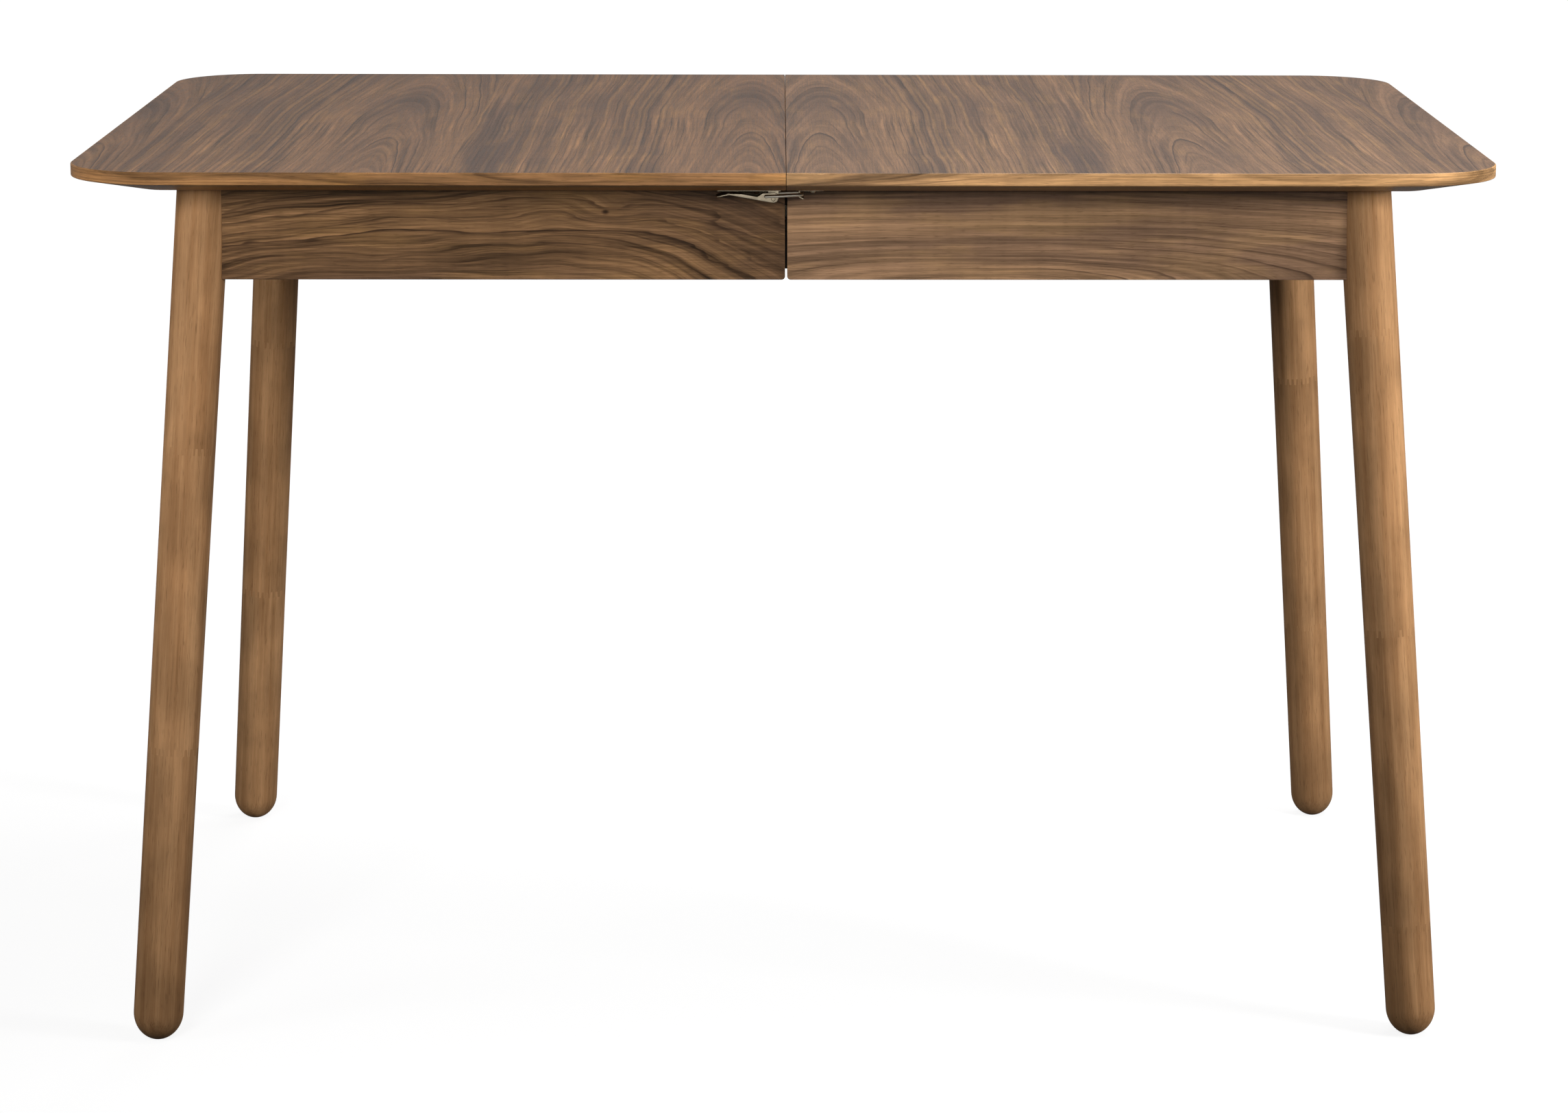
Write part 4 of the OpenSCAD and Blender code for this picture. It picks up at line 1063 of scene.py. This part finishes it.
# %% Screws of the carriage
RAIL_HEAD = (3.2 * MM, 1.6 * MM)
PLATE_HEAD = (3.2 * MM, 1.8 * MM)
UP = (0, 0, 1)
STRAP_T = 4 * MM
STRAP_HALF = 15 * MM
STRAP_HOLE = 8 * MM
GEAR_T = 3 * MM
GEAR_HOLE = 12 * MM
PLATE_T = 3 * MM
PLATE_MID_Y = 18 * MM
LEAF_PLATE_HALF = 20 * MM
LEAF_PLATE_HOLE = (15 * MM, 12 * MM)
ROD_PLATE_HALF = 15 * MM
ROD_PLATE_HOLE = (9.5 * MM, 9 * MM)

heads = []
strap_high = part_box("leaf_straps")[1]
for side, half in SIDES:
    for shift in (-STRAP_HOLE, STRAP_HOLE):
        x = side * (strap_high.x - STRAP_HALF) + shift
        heads.append(((x, half * (strap_high.y - STRAP_T), CHANNEL_MID), (0, -half, 0), RAIL_HEAD))
    place = (side * GEAR_HOLE, half * (strap_high.y - GEAR_T), CHANNEL_MID)
    heads.append((place, (0, -half, 0), RAIL_HEAD))
bracket_low, bracket_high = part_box("leaf_brackets")
foot_low, foot_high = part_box("rod_supports")
plate_y = bracket_low.y + PLATE_MID_Y
# Middle of the plate along the table, its holes out from there, and the height that it lies at
PLATES = (
    (bracket_high.x - LEAF_PLATE_HALF, LEAF_PLATE_HOLE, bracket_low.z),
    (foot_high.x - ROD_PLATE_HALF, ROD_PLATE_HOLE, foot_low.z),
)
for side, half in SIDES:
    for middle, hole, height in PLATES:
        for shift in (-hole[0], hole[0]):
            place = (side * middle + shift, plate_y + half * hole[1], height + PLATE_T)
            heads.append((place, UP, PLATE_HEAD))
screws("screws_carriage", "leaf_carriage", heads)

# %% [markdown]
# ## The floor
# The table stands on a pale floor. For the camera the floor is mostly plain white, and keeps only a
# share of its own shading, which leaves a faint soft shadow. Its white glow is dimmer near the table,
# a painted shade round it that deepens that shadow, and stronger far off, where the lamps reach less.
# Light that bounces finds it dark, so it doesn't light the table from below, and metal sees it dimly.

# %% Floor
FLOOR_R = 30.0
FLOOR_PALE = (0.62, 0.62, 0.62, 1.0)
FLOOR_DIM = (0.05, 0.05, 0.05, 1.0)
WHITE = (1.0, 1.0, 1.0, 1.0)
# The floor's white glow, dimmed under and near the table as painted shade and stronger far from it,
# and how much of it the eye and metal see
DIMMED_GLOW_NEAR, GLOW_FAR = 1.45, 1.69
NEAR_M, FAR_M = 0.8, 3.0
GLOW_SEEN = 0.6
GLOW_MIRRORED = 0.1


def rays(tree):
    """Whether a ray comes from the camera, even through glass, and whether it comes from a reflection."""
    path = add(tree, "ShaderNodeLightPath").outputs
    seen = maths(tree, "ADD", path["Is Camera Ray"], path["Is Transmission Ray"], clamp=True)
    return seen, path["Is Glossy Ray"]


def floor():
    """A wide round floor, plain white with a faint shadow, its glow dimmed near the table as painted shade.
    """
    bm = bmesh.new()
    bmesh.ops.create_circle(bm, cap_ends=True, segments=64, radius=FLOOR_R)
    mesh = bpy.data.meshes.new("floor")
    bm.to_mesh(mesh)
    bm.free()
    ground = bpy.data.objects.new("floor", mesh)
    bpy.context.scene.collection.objects.link(ground)
    material, tree, shader = new_material("pale_floor")
    shader.inputs["Roughness"].default_value = 0.8
    away = vector_sum(tree, "LENGTH", own_place(tree), output="Value")
    # Glow rises with distance from the table; the dimmer glow near it is painted shade
    level = between(tree, rise(tree, away, NEAR_M, FAR_M), DIMMED_GLOW_NEAR, GLOW_FAR)
    white = add(tree, "ShaderNodeEmission", {"Color": WHITE, "Strength": level})
    seen, mirrored = rays(tree)
    tree.links.new(mixed(tree, seen, FLOOR_DIM, FLOOR_PALE), shader.inputs["Base Color"])
    share = times(tree, mirrored, GLOW_MIRRORED)
    share = maths(tree, "MAXIMUM", share, times(tree, seen, GLOW_SEEN))
    blend = add(tree, "ShaderNodeMixShader", {0: share, 1: shader.outputs[0], 2: white.outputs[0]})
    tree.links.new(blend.outputs[0], tree.nodes["Material Output"].inputs["Surface"])
    mesh.materials.append(material)


floor()
print("floor", 2 * FLOOR_R, "m across")

# %% [markdown]
# ## Lamps
# One large lamp hangs overhead. Two small ones stand in front, just above the height of the top, so
# that the overhang shades the aprons only a little, and their narrow spread lets the light fall off
# down the legs. One on each side rounds the legs off, and one behind lights the back.
# These low lamps aren't reflected, because from the other side their reflection would lie on the top
# as a white patch. A thin lamp that gives a reflection and no light puts the glint on the latch.

# %% Lamps
# Name, place, the point it faces, width, height, watts, spread in degrees, whether it lights and shines
LAMPS = (
    ("overhead", (0.8, 0.3, 2.9), (0.2, 0.2, 0.7), 2.4, 1.8, 54.0, 180, True, True),
    ("front_left", (-0.72, -1.75, 1.08), (-0.4, 0.0, 0.38), 0.5, 0.4, 2.55, 70, True, False),
    ("front_right", (0.3, -1.75, 1.08), (0.32, 0.0, 0.62), 0.9, 0.3, 1.6, 62, True, False),
    ("right_side", (2.1, -1.1, 1.05), (0.5, 0.0, 0.4), 0.6, 0.5, 5.3, 62, True, False),
    ("left_side", (-1.7, -1.0, 1.0), (-0.5, 0.0, 0.6), 0.6, 0.5, 1.15, 75, True, False),
    ("glint", (-0.1, -1.7, 0.64), (0.0, -0.33, 0.73), 0.9, 0.12, 0.7, 180, False, True),
    ("behind", (0.2, 2.5, 0.5), (0.0, 0.0, 0.6), 0.9, 0.5, 5.0, 90, True, False),
)


def softbox(name, place, aim, width, height, power, spread, lights, shines):
    """A rectangular lamp that faces a point."""
    lamp = bpy.data.lights.new(name, "AREA")
    lamp.shape = "RECTANGLE"
    lamp.spread = math.radians(spread)
    lamp.size = width
    lamp.size_y = height
    lamp.energy = power
    box = bpy.data.objects.new(name, lamp)
    facing = (Vector(aim) - Vector(place)).to_track_quat("-Z", "Y").to_matrix().to_4x4()
    box.matrix_world = Matrix.Translation(place) @ facing
    bpy.context.scene.collection.objects.link(box)
    box.visible_camera = False
    box.visible_diffuse = lights
    box.visible_glossy = shines


for lamp in LAMPS:
    softbox(*lamp)
print(len(LAMPS), "lamps, the strongest", max(lamp[5] for lamp in LAMPS), "W")

# %% [markdown]
# ## The room
# The room gives the rest of the light, evenly. It is brighter in reflections, which is where the
# soft gloss of the top comes from, and white for the camera.

# %% Room
ROOM_LIGHT = 0.01
ROOM_MIRRORED = 0.36


def room():
    """Even light from all round: dim on the table, stronger in reflections, and white behind it."""
    world = bpy.data.worlds.new("room")
    world.use_nodes = True
    bpy.context.scene.world = world
    tree = world.node_tree
    seen, mirrored = rays(tree)
    level = maths(tree, "MAXIMUM", between(tree, mirrored, ROOM_LIGHT, ROOM_MIRRORED), seen)
    background = tree.nodes["Background"].inputs
    tree.links.new(level, background["Strength"])
    background["Color"].default_value = WHITE


room()
bpy.context.scene.view_settings.view_transform = "Standard"
print("room:", ROOM_LIGHT, "on the table,", ROOM_MIRRORED, "in reflections")
